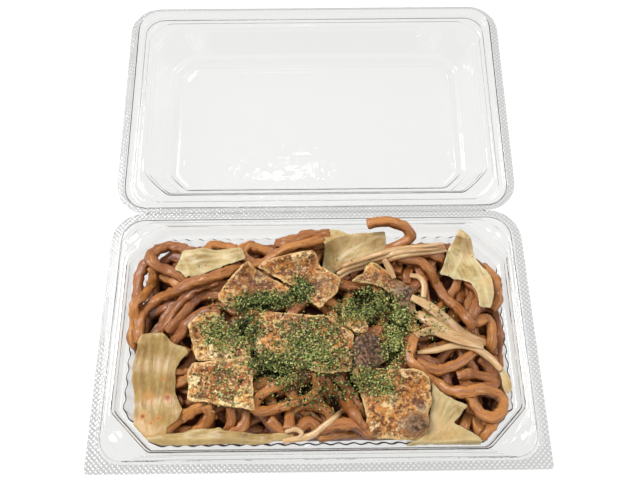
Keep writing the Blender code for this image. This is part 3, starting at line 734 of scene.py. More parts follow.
def sweep(path, half_width, half_height, sides=12, squareness=3.2, twist=0.0, shift=0.0, uneven=0.0):
    """A closed tube along the path. Returns its points, its faces in two sets, and its run."""
    count = len(path)
    half_width, half_height = (np.broadcast_to(size, count) for size in (half_width, half_height))
    steps = np.diff(path, axis=0)
    ahead = np.vstack((steps[:1], steps[:-1] + 1.01 * steps[1:], steps[-1:]))
    ahead /= np.linalg.norm(ahead, axis=1)[:, None]
    side = np.cross(ahead[0], (0.01, 0.02, 1.0))
    side /= np.linalg.norm(side)
    turns = np.arange(sides) / sides * math.tau + math.pi / sides
    bend_x = np.sign(np.cos(turns)) * np.abs(np.cos(turns)) ** (2 / squareness)
    bend_y = np.sign(np.sin(turns)) * np.abs(np.sin(turns)) ** (2 / squareness)
    travelled = travelled_along(path)
    swell = np.ones((count, sides))
    if uneven:
        swell += uneven * np.array([[
            noise.noise(Vector((math.cos(turn) * 1.3, math.sin(turn) * 1.3, far / 3.2 + shift)))
            for turn in turns] for far in travelled])
    points, run = [], []
    for k in range(count):
        side = side - ahead[k] * side.dot(ahead[k])
        side /= np.linalg.norm(side)
        up = np.cross(side, ahead[k])
        lean = twist * travelled[k]
        across = side * math.cos(lean) + up * math.sin(lean)
        over = up * math.cos(lean) - side * math.sin(lean)
        section = (np.outer(bend_x * swell[k], across) * half_width[k]
                   + np.outer(bend_y * swell[k], over) * half_height[k])
        rims = [(0.0, 1.0)]
        if k in (0, count - 1):
            rims = [(0.55, 0.0), (0.5, 0.72), (0.3, 0.9), (0.0, 1.0)]
            rims = rims if k == 0 else rims[::-1]
        for push, share in rims:
            way = -1 if k == 0 else 1
            points.append(path[k] + ahead[k] * push * way + section * share)
            run.append(np.column_stack((np.full(sides, travelled[k] + push * way + shift),
                                        bend_x * half_width[k] + shift, bend_y * half_height[k])))
    for end in (0, -1):  # each end closes in one point
        points[end], run[end] = points[end][:1], run[end][:1]
    body = ring_faces(sides, len(points) - 2)[:, (1, 0, 3, 2)] + 1
    near = np.arange(sides)
    far = (near + 1) % sides
    last = 1 + (len(points) - 3) * sides
    ends = [(0, 1 + a, 1 + b) for a, b in zip(near, far)]
    ends += [(last + b, last + a, last + sides) for a, b in zip(near, far)]
    return np.vstack(points), (body, ends), np.vstack(run)


# %% [markdown]
# ## Noodle finish
#
# The noodles are thick wheat noodles, browned by a dark, sweet sauce. The colour runs from deep
# red-brown, where the sauce has soaked in, to orange-brown where the noodle has rubbed clean.
# A thin coat on top gives the wet shine.

# %% Noodle material
DEEP_SAUCE, NOODLE_BROWN, NOODLE_ORANGE = (0.075, 0.018, 0.008), (0.205, 0.052, 0.013), (0.64, 0.262, 0.060)
noodle_finish, tree, shader = new_finish("sauced_noodle", roughness=0.40, coat_weight=0.32, coat_roughness=0.16,
                                         specular_ior_level=0.4)
run, streak = along_run(tree, 0.22)
soaked = use(tree, patches, vector=streak, size=3.2, low=0.40, high=0.66)
clean = ranged(tree, attribute(tree, "tone"), 0.0, 1.0, 0.05, 0.85)
colour = mixed(tree, clean, NOODLE_BROWN, NOODLE_ORANGE)
colour = painted(tree, colour, soaked, 0.6, NOODLE_BROWN)
colour = patchy(tree, colour, streak, (
    (1.7, 0.52, 0.74, 0.5, NOODLE_ORANGE), (0.8, 0.54, 0.70, 0.5, (0.78, 0.44, 0.18)),
    (1.1, 0.54, 0.70, 0.6, (0.10, 0.026, 0.012))))
colour = speckled(tree, colour, run, ((1.3, 0.3, 0.35, 0.6, DEEP_SAUCE),))
# sides and undersides darkened: partly sauce gathered there, partly painted shade between the strands
sauce_and_shade_at_sides = mixed(tree, 1.0, colour, (0.44, 0.30, 0.21), kind="MULTIPLY")
cover(tree, shader, mixed(tree, facing_up(tree, -0.1, 0.75), sauce_and_shade_at_sides, colour), vector=streak, size=0.8, depth=0.75)
tree.links.new(ranged(tree, soaked, 0.0, 1.0, 0.5, 0.32), shader.inputs["Roughness"])

# the dark core is partly sauce-soaked food and partly painted shade, for the deep gaps between the noodles
core_sauce_and_shade_finish, tree, shader = new_finish("core_sauce_and_painted_shade", roughness=0.7, specular_ior_level=0.2)
where = in_object(tree)
colour = mixed(tree, use(tree, patches, vector=where, size=5.0), (0.075, 0.024, 0.016), (0.15, 0.048, 0.024))
cover(tree, shader, colour, vector=where, size=2.5, depth=0.6)

# %% [markdown]
# ## The heap
#
# The heap is built from below: a dark core, noodles pressed against the clear wall, three layers
# of loose noodles spread by a seeded draw, and last the noodles that show, each on its own route.

# %% The core
CORE_INSET, CORE_FOOT_INSET, CORE_FOOT_Z = HEAP_EDGE_INSET + 4.5, 18.5, 1.0
edge = snap_ring(CORE_INSET, 0, HEAP_EDGE_CUT, 0.0)[::4, :2]
foot = snap_ring(CORE_FOOT_INSET, 0, 13.0, 0.0)[::4, :2]
core_points = [np.column_stack((foot, np.full(len(foot), CORE_FOOT_Z)))]
for share in (1.0, 0.9, 0.75, 0.6, 0.42, 0.22):
    spots = (edge - (0, MIDDLE_Y)) * share + (0, MIDDLE_Y)
    core_points.append(np.column_stack((spots, core_height(spots[:, 0], spots[:, 1]) - CORE_DROP)))
near = np.arange(len(foot))
core_faces = [near[::-1].tolist(), *ring_faces(len(foot), len(core_points)).tolist(),
              (near + (len(core_points) - 1) * len(foot)).tolist()]
core = new_object("heap_core", np.vstack(core_points), core_faces, core_sauce_and_shade_finish)
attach(core, "tray_with_food")

# %% Noodles pressed against the wall
NOODLE_HALF_WIDTH, NOODLE_HALF_HEIGHT = 2.5, 1.9
GRAIN_APART = 31.0  # each noodle reads the grain this far from the one before
draw = random.Random(5)
noodles = Bundle()
WALL_NOODLES = 58
WALL_CLEAR = 0.9  # from the wall's outermost line to a noodle
CORNER_CUT = 6.6  # the inset of a wall noodle less this is its room to the step
wall_line = snap_ring(0, 0, 14.0, 0.0)[:, :2]
girth = len(wall_line)
wall_paths = []
for number in range(WALL_NOODLES):
    start = number * girth / WALL_NOODLES + draw.uniform(-6, 6)
    span = draw.uniform(26, 64)
    level_z, sway, swing = draw.uniform(4.5, 19.5), draw.uniform(1.0, 5.5), draw.uniform(0.04, 0.11)
    phase, deeper = draw.uniform(0, 6.28), draw.choice((0.0, 0.6, 2.2))
    steps = np.arange(0, span, 1.6)
    at = np.rint(start + steps).astype(int) % girth
    z = np.clip(level_z + sway * np.sin(steps * swing * 2 + phase), 3.4, 21.0)
    inset = WALL_INSET + (LEDGE_Z - z) * WALL_LEAN / WALL_HEIGHT + WALL_CLEAR + NOODLE_HALF_HEIGHT + deeper
    spots = wall_line[at]
    spots = np.column_stack((np.clip(spots[:, 0], inset - SNAP_HALF_WIDTH, SNAP_HALF_WIDTH - inset),
                             np.clip(spots[:, 1], SNAP_FRONT + inset, SNAP_BACK - inset)))
    spots = keep_inside(spots, float(inset.max()) - CORNER_CUT)
    path = even_steps(np.column_stack((spots, z)), 2.2)
    wall_paths.append(path)
    noodles.add_strand(path, NOODLE_HALF_HEIGHT, NOODLE_HALF_WIDTH, draw.random() * 0.7,
                       sides=8, shift=number * GRAIN_APART, uneven=0.2)


# %% Loose noodles under the ones that show
def waves(spots, size, seed):
    """Smooth noise from -1 to 1 at each spot, with features of this size in millimetres."""
    return np.array([noise.noise(Vector((x / size, y / size, seed * 7.31))) for x, y in spots])


PRESSED = 0.92  # share of a noodle's radius that is left where it presses into others


def lay_noodle(route, tone, number, size=1.0, drawn=True, sink=0.8, stiffness=18, room=3.2,
               above_heap=STRAND_RISE, twist=0.0):
    """Lay one noodle on the map and add it to the heap. A drawn one is placed as the camera sees it."""
    radius = NOODLE_HALF_WIDTH * size
    seen = smooth_curve(route, 1.0)
    if not drawn:
        seen = seen[room_to_step(seen[:, 0], seen[:, 1]) > 0]
    spots = keep_inside(seen, room)
    for _ in range(3 if drawn else 1):
        z = settle(spots, radius * PRESSED, sink, stiffness, above_heap)
        if drawn:
            spots = keep_inside(slide(seen, z), room)
    path = np.column_stack((spots, z))
    ground.leave_tube(even_steps(path, CELL), radius * PRESSED)
    wander = 1 + 0.16 * waves(np.column_stack((np.arange(len(path)), np.zeros(len(path)))), 7.0, number)
    path = even_steps(np.column_stack((path, wander)), 1.4)
    noodles.add_strand(path[:, :3], radius * path[:, 3], NOODLE_HALF_HEIGHT * size * path[:, 3], tone,
                       shift=number * GRAIN_APART, twist=twist, uneven=0.42)


draw = random.Random(23)
LOOSE_LEFT, LOOSE_FRONT, LOOSE_WIDTH, LOOSE_DEPTH = -72, -42, 144, 86
LOOSE_LAYERS = ((7, 5, 62.0), (8, 5, 50.0), (8, 5, 40.0))  # columns, rows and length of the noodles
number = 100  # the seed of the last noodle laid
for columns, rows, length in LOOSE_LAYERS:
    for index in range(columns * rows):
        column, row = index % columns, index // columns
        x = LOOSE_LEFT + LOOSE_WIDTH * (column + 0.5 * (row % 2)) / (columns - 0.5) + draw.uniform(-6, 6)
        y = LOOSE_FRONT + LOOSE_DEPTH * row / (rows - 1) + draw.uniform(-5, 5)
        heading, bend = draw.uniform(-1.5, 1.5), draw.uniform(-0.045, 0.045)
        route = []
        for along in np.linspace(-0.5, 0.5, 7) * length * draw.uniform(0.7, 1.1):
            turned = heading + bend * along
            route.append((x + along * math.cos(turned), y + along * math.sin(turned)))
        number += 1
        lay_noodle(route, draw.random() * 0.75, number, size=draw.uniform(0.86, 1.02), drawn=False, sink=1.2,
                   stiffness=30, room=7.5, above_heap=4.0)
print("loose layers reach", ground.z[40:-40, 40:-40].max().round(1), "mm")

# %% Noodles that show, from the lowest to the highest
SHOWN = (
    # left side
    ((-80, 37), (-82, 31), (-86, 24), (-85, 19), (-86, 12)),
    ((-73, 27), (-68, 25), (-64, 21), (-60, 18)),
    ((-78, 31), (-77, 25), (-80, 18), (-85, 13), (-87, 7), (-86, 2), (-83, -4), (-81, -8)),
    ((-42, 22), (-49, 22), (-50, 26), (-44, 28), (-37, 29)),
    ((-56, 38), (-60, 39), (-65, 41), (-70, 42), (-76, 42), (-79, 40), (-79, 36), (-76, 32), (-71, 30),
     (-66, 28), (-60, 24)),
    ((-47, 24), (-57, 20), (-64, 13), (-68, 5), (-71, 0)),
    ((-36, 31), (-44, 28), (-53, 25), (-60, 23), (-67, 19), (-73, 16), (-78, 12), (-81, 7), (-81, -5)),
    ((-40, 18), (-47, 17), (-53, 17), (-58, 13), (-63, 6), (-68, 0)),
    ((-45, 9), (-52, 9), (-59, 4), (-63, -2), (-66, -6)),
    # back
    ((-20, 41), (-10, 42), (-2, 45), (6, 45)),
    ((-14, 44), (-4, 46), (4, 46)),
    ((-54, 38), (-51, 42), (-46, 42), (-41, 41), (-35, 38)),
    ((-37, 38), (-33, 42), (-30, 41), (-21, 38)),
    ((-19, 43), (-10, 45), (-3, 48), (6, 48)),
    ((-22, 34), (-14, 37), (-5, 41), (6, 43)),
    ((-35, 37), (-30, 33), (-24, 34), (-19, 38), (-10, 42), (3, 45)),
    # right side
    ((72, 8), (77, 10), (82, 7), (82, 1), (82, -12), (79, -22)),
    ((72, 3), (78, 4), (79, -3), (77, -12)),
    ((70, 23), (75, 17), (73, 10), (69, 3)),
    ((67, 25), (64, 19), (59, 13), (53, 6)),
    ((78, 30), (83, 24), (84, 14), (80, 9)),
    ((38, 33), (45, 37), (53, 37), (59, 34), (60, 29), (55, 24)),
    ((36, 36), (45, 34), (51, 31), (54, 26), (56, 20), (60, 14), (66, 8), (71, 1)),
    # front
    ((-66, -44), (-60, -39), (-55, -36), (-49, -33)),
    ((-66, -26), (-58, -22), (-52, -18)),
    ((-49, -34), (-47, -38), (-50, -43), (-56, -46)),
    ((-38, -34), (-38, -42), (-42, -47)),
    ((-31, -35), (-32, -42), (-37, -46), (-46, -48)),
    ((-28, -35), (-23, -39), (-19, -43), (-14, -46), (-6, -46)),
    ((-21, -40), (-13, -46), (-4, -41), (2, -47)),
    ((8, -22), (14, -28), (18, -36), (25, -44)),
    ((-13, -44), (-12, -37), (-8, -34), (-2, -34), (4, -37), (7, -43)),
    ((0, -47), (8, -46), (16, -46), (24, -47)),
    ((1, -45), (8, -43), (15, -43), (20, -45)),
    ((4, -43), (10, -42), (17, -43), (22, -47)),
    ((-2, -19), (6, -27), (10, -30), (14, -36), (19, -44)),
    ((-10, -22), (-20, -26), (-26, -30), (-28, -33), (-27, -36), (-21, -36), (-11, -33), (-5, -31), (-1, -27),
     (-1, -20)),
    # right front
    ((72, -14), (77, -20), (80, -28), (77, -36)),
    ((62, -44), (66, -39), (70, -46), (77, -46)),
    ((72, -41), (78, -43), (77, -47), (70, -50)),
    ((63, -20), (65, -25), (67, -31), (66, -38)),
    ((62, -22), (67, -21), (75, -23), (78, -26), (70, -27), (63, -27)),
    ((44, -15), (52, -19), (59, -18), (65, -15), (70, -11)),
    ((38, 9), (42, 4), (44, -2), (42, -8), (41, -14), (45, -19), (51, -24), (57, -28), (65, -29), (72, -28),
     (79, -31), (80, -36), (76, -40), (71, -39), (68, -35), (66, -31)),
)
draw = random.Random(8)
for number, route in enumerate(SHOWN):
    in_sauce = 0.5 if route[0][1] > 40 else 1.0  # those along the back are the darkest
    lay_noodle(route, in_sauce * (0.25 + 0.75 * draw.random()), number, size=draw.uniform(0.92, 1.04),
               twist=draw.uniform(-0.03, 0.03))
for path in wall_paths:  # what lies on top lies on these as well
    ground.leave_tube(even_steps(path, CELL), NOODLE_HALF_WIDTH)
heap = noodles.make("noodles", noodle_finish)
for piece in (heap, core):
    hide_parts("noodle_heap")
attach(heap, "tray_with_food")
print("heap top", ground.z[60:-60, 30:-30].max().round(1), "mm, packed heap", round(heap_top, 1))

# %% [markdown]
# One noodle at the back stands up out of the heap in an open loop, its cut end in the air. The
# lid would touch it as the lid closes.

# %% The standing noodle
LOOP_SEEN = ((33, 39, 28), (38, 41, 31), (42, 43, 33), (45, 46, 35), (44, 50, 37), (41, 52, 38), (36, 54, 39),
             (30, 54, 39), (25, 53, 38))
loop_route = smooth_curve(LOOP_SEEN, 1.2)
loop_route = np.column_stack((slide(loop_route[:, :2], loop_route[:, 2]), loop_route[:, 2]))
loop = Bundle()
loop.add_strand(loop_route, NOODLE_HALF_WIDTH * 0.95, NOODLE_HALF_WIDTH * 0.92, 0.75, shift=7.0, uneven=0.25)
standing = loop.make("standing_noodle", noodle_finish)
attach(standing, "tray_with_food")
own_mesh(standing)

# %% [markdown]
# ## Slices and leaves
#
# A slice of pork and a piece of cabbage are both sheets with a ragged outline. The outline is
# filled with even triangles, the sheet is draped over the map, crumpled, and given its thickness.
# Five layers stay at its points for the materials: how near the rim a point is, how stained and
# how soaked it is, where veins run, and the run of its grain.


# %% Fill an outline with even triangles
def edge_distance(spots, rim):
    return np.sqrt(((spots[:, None, :] - rim[None, :, :]) ** 2).sum(2)).min(1)


def filled(outline, spacing, ragged, seed):
    """Spots and triangles that fill a ragged outline. The outline's own spots come first."""
    rim = even_steps(np.array((*outline, outline[0]), float), spacing)[:-1]
    for _ in range(2):
        rim = (np.roll(rim, 1, 0) + 2 * rim + np.roll(rim, -1, 0)) / 4
    rim = rim + outward(rim) * (ragged * (waves(rim, 3.0, seed) + 0.6 * waves(rim, 1.3, seed + 1)))[:, None]
    low, high = rim.min(0), rim.max(0)
    columns, rows = np.arange(low[0], high[0], spacing), np.arange(low[1], high[1], spacing * 0.866)
    inner = [(x + (k % 2) * spacing / 2, y) for k, y in enumerate(rows) for x in columns]
    inner = np.array(inner) + spacing * 0.12 * np.column_stack(
        (waves(inner, 1.9, seed + 2), waves(inner, 1.7, seed + 3)))
    after = np.roll(rim, -1, 0)
    crosses = (rim[:, 1] > inner[:, 1:2]) != (after[:, 1] > inner[:, 1:2])
    with np.errstate(divide="ignore", invalid="ignore"):
        cut = rim[:, 0] + (inner[:, 1:2] - rim[:, 1]) * (after[:, 0] - rim[:, 0]) / (after[:, 1] - rim[:, 1])
    inside = (crosses & (inner[:, 0:1] < cut)).sum(1) % 2 == 1
    inner = inner[inside & (edge_distance(inner, rim) > spacing * 0.55)]
    spots = np.vstack((rim, inner))
    made = delaunay_2d_cdt([Vector(spot) for spot in spots], [], [list(range(len(rim)))], 1, 1e-4)
    return np.array([tuple(spot) for spot in made[0]]), [tuple(face) for face in made[2]]


def rim_loop(faces):
    """The open edges of a filled outline, in order."""
    sides = {side for face in faces for side in zip(face, face[1:] + face[:1])}
    nexts = {a: b for a, b in sides if (b, a) not in sides}
    loop = [min(nexts)]
    while nexts[loop[-1]] != loop[0]:
        loop.append(nexts[loop[-1]])
    return loop


def neighbour_mean(faces, count):
    """A function that gives each point of a mesh the mean of its neighbours' values."""
    pairs = np.array(sorted({tuple(sorted(side)) for face in faces for side in zip(face, face[1:] + face[:1])}))
    share = np.bincount(pairs.ravel(), minlength=count)

    def mean(values):
        return (np.bincount(pairs[:, 0], values[pairs[:, 1]], count)
                + np.bincount(pairs[:, 1], values[pairs[:, 0]], count)) / share
    return mean


def drape(spots, mean, passes):
    """Heights of a sheet that sags between what holds it up. The last passes let it smooth itself."""
    rest = ground.top(spots[:, 0], spots[:, 1], 0.8)
    z = rest
    for step in range(passes):
        z = mean(z) if step > passes * 0.8 else np.maximum(rest, mean(z))
    return z


def blob(spots, marks):
    """Soft round marks: each is x, y, reach and strength. The strongest counts."""
    total = np.zeros(len(spots))
    for x, y, reach, strength in marks:
        away = np.hypot(spots[:, 0] - x, spots[:, 1] - y) / reach
        total = np.maximum(total, strength * np.clip(1.25 - away, 0, 1))
    return total


def bowed(spots, z):
    """The evenly bent sheet that comes nearest to these heights."""
    x, y = ((spots - spots.mean(0)) / 20).T
    terms = np.column_stack((np.ones(len(x)), x, y, x * x, x * y, y * y))
    return terms @ np.linalg.lstsq(terms, z, rcond=None)[0]


VEIN_RISE, VEIN_REACH = 0.3, 0.8
RIM_SHARE, RIM_BAND = 0.45, 1.6  # a sheet's thickness at its rim, and how far in it grows to the whole


def lay_sheet(name, outline, finish, node, slot, seed, thickness, spacing=0.75, ragged=0.35, passes=90, crumple=(),
              folds=(), lean=0.0, lifts=(), stains=(), veins=(), soaked=0.0, taut=3):
    """Drape one slice or leaf on the map, thicken it and leave its top in the map."""
    seen, faces = filled(outline, spacing, ragged, seed)
    count = len(seen)
    mean = neighbour_mean(faces, count)
    z = drape(seen, mean, 8)
    for _ in range(3):  # the whole sheet slides, tilted and bowed as it lies
        spots = slide(seen, bowed(seen, z))
        z = drape(spots, mean, passes)
    loop = rim_loop(faces)
    from_edge = edge_distance(seen, seen[loop])

    # Crumples are round, folds run along the lean. Both only ever lift the sheet.
    lean = math.radians(lean)
    grain = seen @ np.array(((math.cos(lean), -math.sin(lean)), (math.sin(lean), math.cos(lean))))
    for read_at, shift, marks in ((seen, 0, crumple), (grain * (0.2, 1.0), 40, folds)):
        for size, rise in marks:
            rough = waves(read_at, size, seed + shift + size)
            z = z + rise * (rough - rough.min()) * 0.5
    z = z + blob(seen, lifts)
    spots = slide(seen, bowed(seen, z))
    lowest = ground.top(spots[:, 0], spots[:, 1], 1.2)
    for _ in range(taut):
        z = np.maximum(z, lowest)
        for _ in range(2):
            z = (z + mean(z)) / 2
    z = np.minimum(np.maximum(z, lowest), roof(spots[:, 0], spots[:, 1], SHEET_RISE) - thickness)
    vein = np.zeros(count)
    for line in veins:
        away = edge_distance(seen, even_steps(np.array(line, float), 0.5))
        vein = np.maximum(vein, np.exp(-(away / VEIN_REACH) ** 2))
    z = z + vein * VEIN_RISE

    # The sheet thins out towards its rim, where a belly between the two faces closes it.
    thin = thickness * (RIM_SHARE + (1 - RIM_SHARE) * np.clip(from_edge / RIM_BAND, 0, 1) ** 0.7)
    top = z + thickness * 0.5 + thin * 0.5
    low = z + thickness * 0.5 - thin * 0.5
    belly = np.column_stack((spots[loop] + outward(spots[loop]) * thickness * 0.14, (top[loop] + low[loop]) / 2))
    points = np.vstack((np.column_stack((spots, top)), np.column_stack((spots, low)), belly))
    solid = list(faces) + [tuple(index + count for index in reversed(face)) for face in faces]
    for k, (a, b) in enumerate(zip(loop, loop[1:] + loop[:1])):
        belly_a, belly_b = 2 * count + k, 2 * count + (k + 1) % len(loop)
        solid += [(b, a, belly_a, belly_b), (belly_b, belly_a, a + count, b + count)]
    layers = {"rim": np.exp(-from_edge / 0.6), "stain": blob(seen, stains), "vein": vein,
              "run": np.column_stack((grain, z)) + seed * 17.0, "soaked": np.full(count, soaked)}
    layers = {key: np.concatenate((values, values, values[loop])) for key, values in layers.items()}
    made = new_object(name, points, solid, finish, **layers)
    ground.leave_points(points[:count])
    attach(made, "tray_with_food")
    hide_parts(node)
    print(name, "lies", z.min().round(1), "to", top.max().round(1), "mm up")


# %% Pork finish
PORK_BROWN, PORK_GOLD, PORK_PALE = (0.42, 0.135, 0.022), (0.66, 0.29, 0.058), (0.85, 0.53, 0.18)
PORK_CREAM = (0.97, 0.76, 0.40)
pork_finish, tree, shader = new_finish("fried_pork", roughness=0.46, coat_weight=0.12, coat_roughness=0.3,
                                       specular_ior_level=0.4)
where = in_object(tree)
colour = mixed(tree, use(tree, patches, vector=where, size=13.0, low=0.40, high=0.6), PORK_BROWN, PORK_GOLD)
colour = patchy(tree, colour, where, (
    (9.0, 0.52, 0.60, 0.8, PORK_PALE), (6.0, 0.54, 0.60, 0.9, (0.16, 0.044, 0.006)),
    (5.0, 0.54, 0.60, 0.95, PORK_CREAM), (3.2, 0.51, 0.58, 0.7, (0.17, 0.048, 0.006)),
    (1.6, 0.52, 0.60, 0.7, (0.10, 0.030, 0.005)), (1.4, 0.55, 0.63, 0.6, PORK_CREAM)))
colour = speckled(tree, colour, where, (
    (3.4, 0.30, 0.4, 0.8, (0.10, 0.030, 0.010)), (2.4, 0.30, 0.45, 0.9, (0.04, 0.018, 0.010)),
    (1.9, 0.36, 0.35, 0.7, PORK_CREAM)))
colour = mixed(tree, attribute(tree, "soaked"), colour, (0.66, 0.42, 0.24), kind="MULTIPLY")
broken = use(tree, patches, vector=where, size=3.0, low=0.32, high=0.50)
rim = maths(tree, "MULTIPLY", attribute(tree, "rim"), broken)
colour = painted(tree, colour, rim, 0.9, (0.90, 0.62, 0.27))
burnt = mixed(tree, use(tree, patches, vector=where, size=1.6, low=0.44, high=0.58),
              (0.050, 0.022, 0.012), (0.28, 0.145, 0.070))
cover(tree, shader, mixed(tree, attribute(tree, "stain"), colour, burnt), vector=where, size=2.4, depth=2.0)

# %% Cabbage finish
LEAF_DEEP, LEAF_CREAM, LEAF_WHITE = (0.40, 0.265, 0.085), (0.60, 0.47, 0.22), (0.80, 0.70, 0.44)
cabbage_finish, tree, shader = new_finish("cabbage", roughness=0.40, coat_weight=0.14, coat_roughness=0.22,
                                          subsurface_weight=0.22, subsurface_scale=0.003)
where, stain = in_object(tree), attribute(tree, "stain")
fibres = along_run(tree, 0.12)[1]
colour = mixed(tree, use(tree, patches, vector=where, size=10.0, low=0.36, high=0.62), LEAF_DEEP, LEAF_CREAM)
colour = patchy(tree, colour, fibres, (
    (1.1, 0.45, 0.65, 0.35, LEAF_WHITE), (2.6, 0.5, 0.7, 0.4, (0.38, 0.28, 0.07))))
colour = painted(tree, colour, attribute(tree, "vein"), 0.45, LEAF_WHITE)
colour = speckled(tree, colour, where, ((4.2, 0.16, 0.3, 0.8, (0.14, 0.08, 0.03)),))
colour = painted(tree, colour, attribute(tree, "rim"), 0.5, LEAF_WHITE)
colour = mixed(tree, attribute(tree, "soaked"), colour, (0.66, 0.52, 0.30), kind="MULTIPLY")
colour = mixed(tree, stain, colour, (0.60, 0.24, 0.045))
colour = mixed(tree, ranged(tree, stain, 0.55, 1.0), colour, (0.26, 0.070, 0.012))
cover(tree, shader, colour, vector=fibres, size=0.8, depth=0.35)

# %% [markdown]
# ## Cabbage
#
# Three leaves lie along the back, one of them in the far right corner. A tall leaf lines the left
# wall, a ribbed piece lies folded at the right front, and a scrap lies above it on the right.
# They lie under the pork, and so they come first.

# %% Cabbage leaves
FAN = tuple(((48, -48), (48 + 15 * math.cos(lean), -48 + 17 * math.sin(lean)))
            for lean in (0.55, 0.75, 0.95, 1.15, 1.35, 1.55))  # the ribs of cabbage_5
LEAVES = {
    "cabbage_1": dict(
        outline=((-64, 40), (-50, 40), (-36, 41), (-34, 35), (-47, 30), (-61, 25), (-64, 29), (-67, 29),
                 (-66, 34), (-65, 36)),
        crumple=((22, 1.6),), folds=((6, 0.8),), lean=8, soaked=0.3, taut=14, lifts=((-64, 30, 5, 0.8),),
        veins=(((-65, 38), (-61, 31), (-60, 26)), ((-62, 38), (-48, 37), (-36, 38)), ((-60, 33), (-50, 35),
               (-40, 37)))),
    "cabbage_2": dict(
        outline=((2, 54), (5, 58), (8, 56), (12, 51), (15, 48), (19, 48), (27, 48), (33, 49), (33, 43),
                 (34, 41), (32, 38), (26, 35), (15, 31), (7, 27), (2, 30), (3, 34), (4, 40), (2, 45)),
        crumple=((7, 1.2), (16, 2.0)), folds=((4, 1.4),), lean=60, lifts=((5, 56, 8, 9.0), (32, 46, 6, 1.5)),
        stains=((7, 46, 7, 0.2), (9, 31, 3, 0.3)), soaked=0.38,
        veins=(((9, 30), (12, 40), (8, 50)), ((12, 36), (22, 42), (31, 46)), ((13, 33), (24, 37), (31, 40)))),
    "cabbage_3": dict(
        outline=((71, 54), (73, 48), (74, 44), (76, 34), (81, 26), (82, 17), (81, 11), (75, 11), (74, 17),
                 (72, 21), (68, 23), (64, 24), (61, 26), (58, 27), (60, 31), (62, 38), (66, 44)),
        crumple=((18, 2.0),), folds=((4, 1.2),), lean=-70, lifts=((71, 49, 9, 4.0), (82, 20, 7, 2.0)),
        stains=((79, 22, 3.5, 0.3), (71, 36, 2, 0.3)),
        veins=(((71, 48), (69, 36), (64, 26)), ((70, 42), (76, 28), (79, 14)), ((72, 44), (76, 34), (80, 24)))),
    "cabbage_4": dict(
        outline=((-80, -1), (-74, 0), (-70, -1), (-68, -3), (-65, -6), (-60, -7), (-58, -10), (-60, -12),
                 (-63, -17), (-63, -21), (-63, -28), (-61, -32), (-59, -35), (-61, -39), (-65, -43), (-65, -46),
                 (-71, -48), (-74, -47), (-80, -41), (-80, -34), (-82, -21), (-82, -14), (-81, -6)),
        crumple=((30, 1.4),), folds=((5, 1.6), (12, 2.4)), lean=90, soaked=0.9, taut=30,
        lifts=((-81, -20, 9, 2.0), (-60, -9, 6, 1.0)),
        stains=((-74, -30, 3.6, 0.48), (-66, -30, 2.4, 1.0), (-76, -38, 1.8, 1.0), (-69, -39, 1.5, 0.9),
                (-72, -41, 1.2, 0.9), (-68, -22, 1.2, 0.8), (-72, -45, 7, 0.22)),
        veins=(((-76, -2), (-75, -20), (-72, -46)), ((-70, -2), (-70, -18), (-71, -34)), ((-66, -7), (-67, -20),
               (-70, -36)), ((-79, -6), (-79, -22), (-76, -40)))),
    "cabbage_5": dict(
        outline=((50, -24), (53, -28), (55, -30), (65, -35), (61, -39), (58, -42), (63, -45), (70, -49),
                 (70, -51), (53, -51), (37, -51), (43, -49), (47, -45), (49, -35)),
        crumple=((14, 1.6),), folds=((3, 1.4),), lean=55, lifts=((63, -35, 5, 1.5), (64, -47, 7, 1.2)),
        stains=((53, -44, 7, 0.16),), soaked=0.42,
        veins=(*FAN, ((42, -51), (55, -50), (68, -49)))),
    "cabbage_6": dict(
        outline=((80, -18), (83, -20), (85, -24), (85, -28), (82, -31), (81, -28), (81, -23)),
        crumple=((6, 1.2),), lean=90, stains=((82, -24, 4, 0.2),), soaked=0.3,
        veins=(((82, -19), (83, -29)),)),
}
for seed, (node, leaf) in enumerate(LEAVES.items(), 1):
    lay_sheet(node + "_leaf", finish=cabbage_finish, node=node, slot="cabbage", seed=seed,
              thickness=LEAF_THICKNESS, passes=120, **leaf)

# %% [markdown]
# A thick white rib of cabbage runs along the front wall. It is a flat strip with a notched end.

# %% The cabbage rib
RIB_OUTLINE = ((-74, -47), (-65, -46), (-57, -45), (-55, -44), (-45, -44), (-42, -43), (-41, -45), (-20, -46),
               (-11, -46), (-10, -48), (-27, -50), (-54, -50), (-67, -50), (-71, -49))
lay_sheet("cabbage_7_rib", RIB_OUTLINE, cabbage_finish, node="cabbage_7", slot="cabbage", seed=7, thickness=2.2,
          spacing=0.9, ragged=0.2, soaked=0.75, crumple=((10, 0.8),), veins=(((-66, -48), (-40, -48), (-4, -50)),))

# %% Sprout finish
sprout_finish, tree, shader = new_finish("sprout", roughness=0.3, coat_weight=0.35, coat_roughness=0.15,
                                         subsurface_weight=0.25, subsurface_scale=0.002)
streak = along_run(tree, 0.14)[1]
fibre = use(tree, patches, vector=streak, size=0.8, low=0.4, high=0.65)
colour = mixed(tree, fibre, (0.58, 0.35, 0.15), (0.72, 0.50, 0.27))
colour = patchy(tree, colour, streak, ((3.5, 0.46, 0.66, 0.6, (0.42, 0.20, 0.07)),))
cover(tree, shader, colour, vector=streak, size=0.7, depth=0.2)


# %% Lay a sprout
def lay_sprout(number, route, widths, flat):
    """One strand whose half width changes along it. Flat is its height as a share of its width."""
    node = f"sprout_{number}"
    seen = smooth_curve(route, 1.0)
    half = np.interp(np.linspace(0, 1, len(seen)), np.linspace(0, 1, len(widths)), widths)
    radius = float(max(half)) * flat
    spots = seen
    for _ in range(3):
        z = settle(spots, max(radius, 0.8), 0.1, 30)
        spots = keep_inside(slide(seen, z), 1.6)
    path = even_steps(np.column_stack((spots, z, half)), 1.2)
    strand = Bundle()
    strand.add_strand(path[:, :3], path[:, 3], path[:, 3] * flat, 0.5, squareness=2.2, shift=number * 13.0)
    ground.leave_tube(even_steps(path[:, :3], CELL), radius)
    made = strand.make(node + "_strand", sprout_finish)
    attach(made, "tray_with_food")
    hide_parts(node)


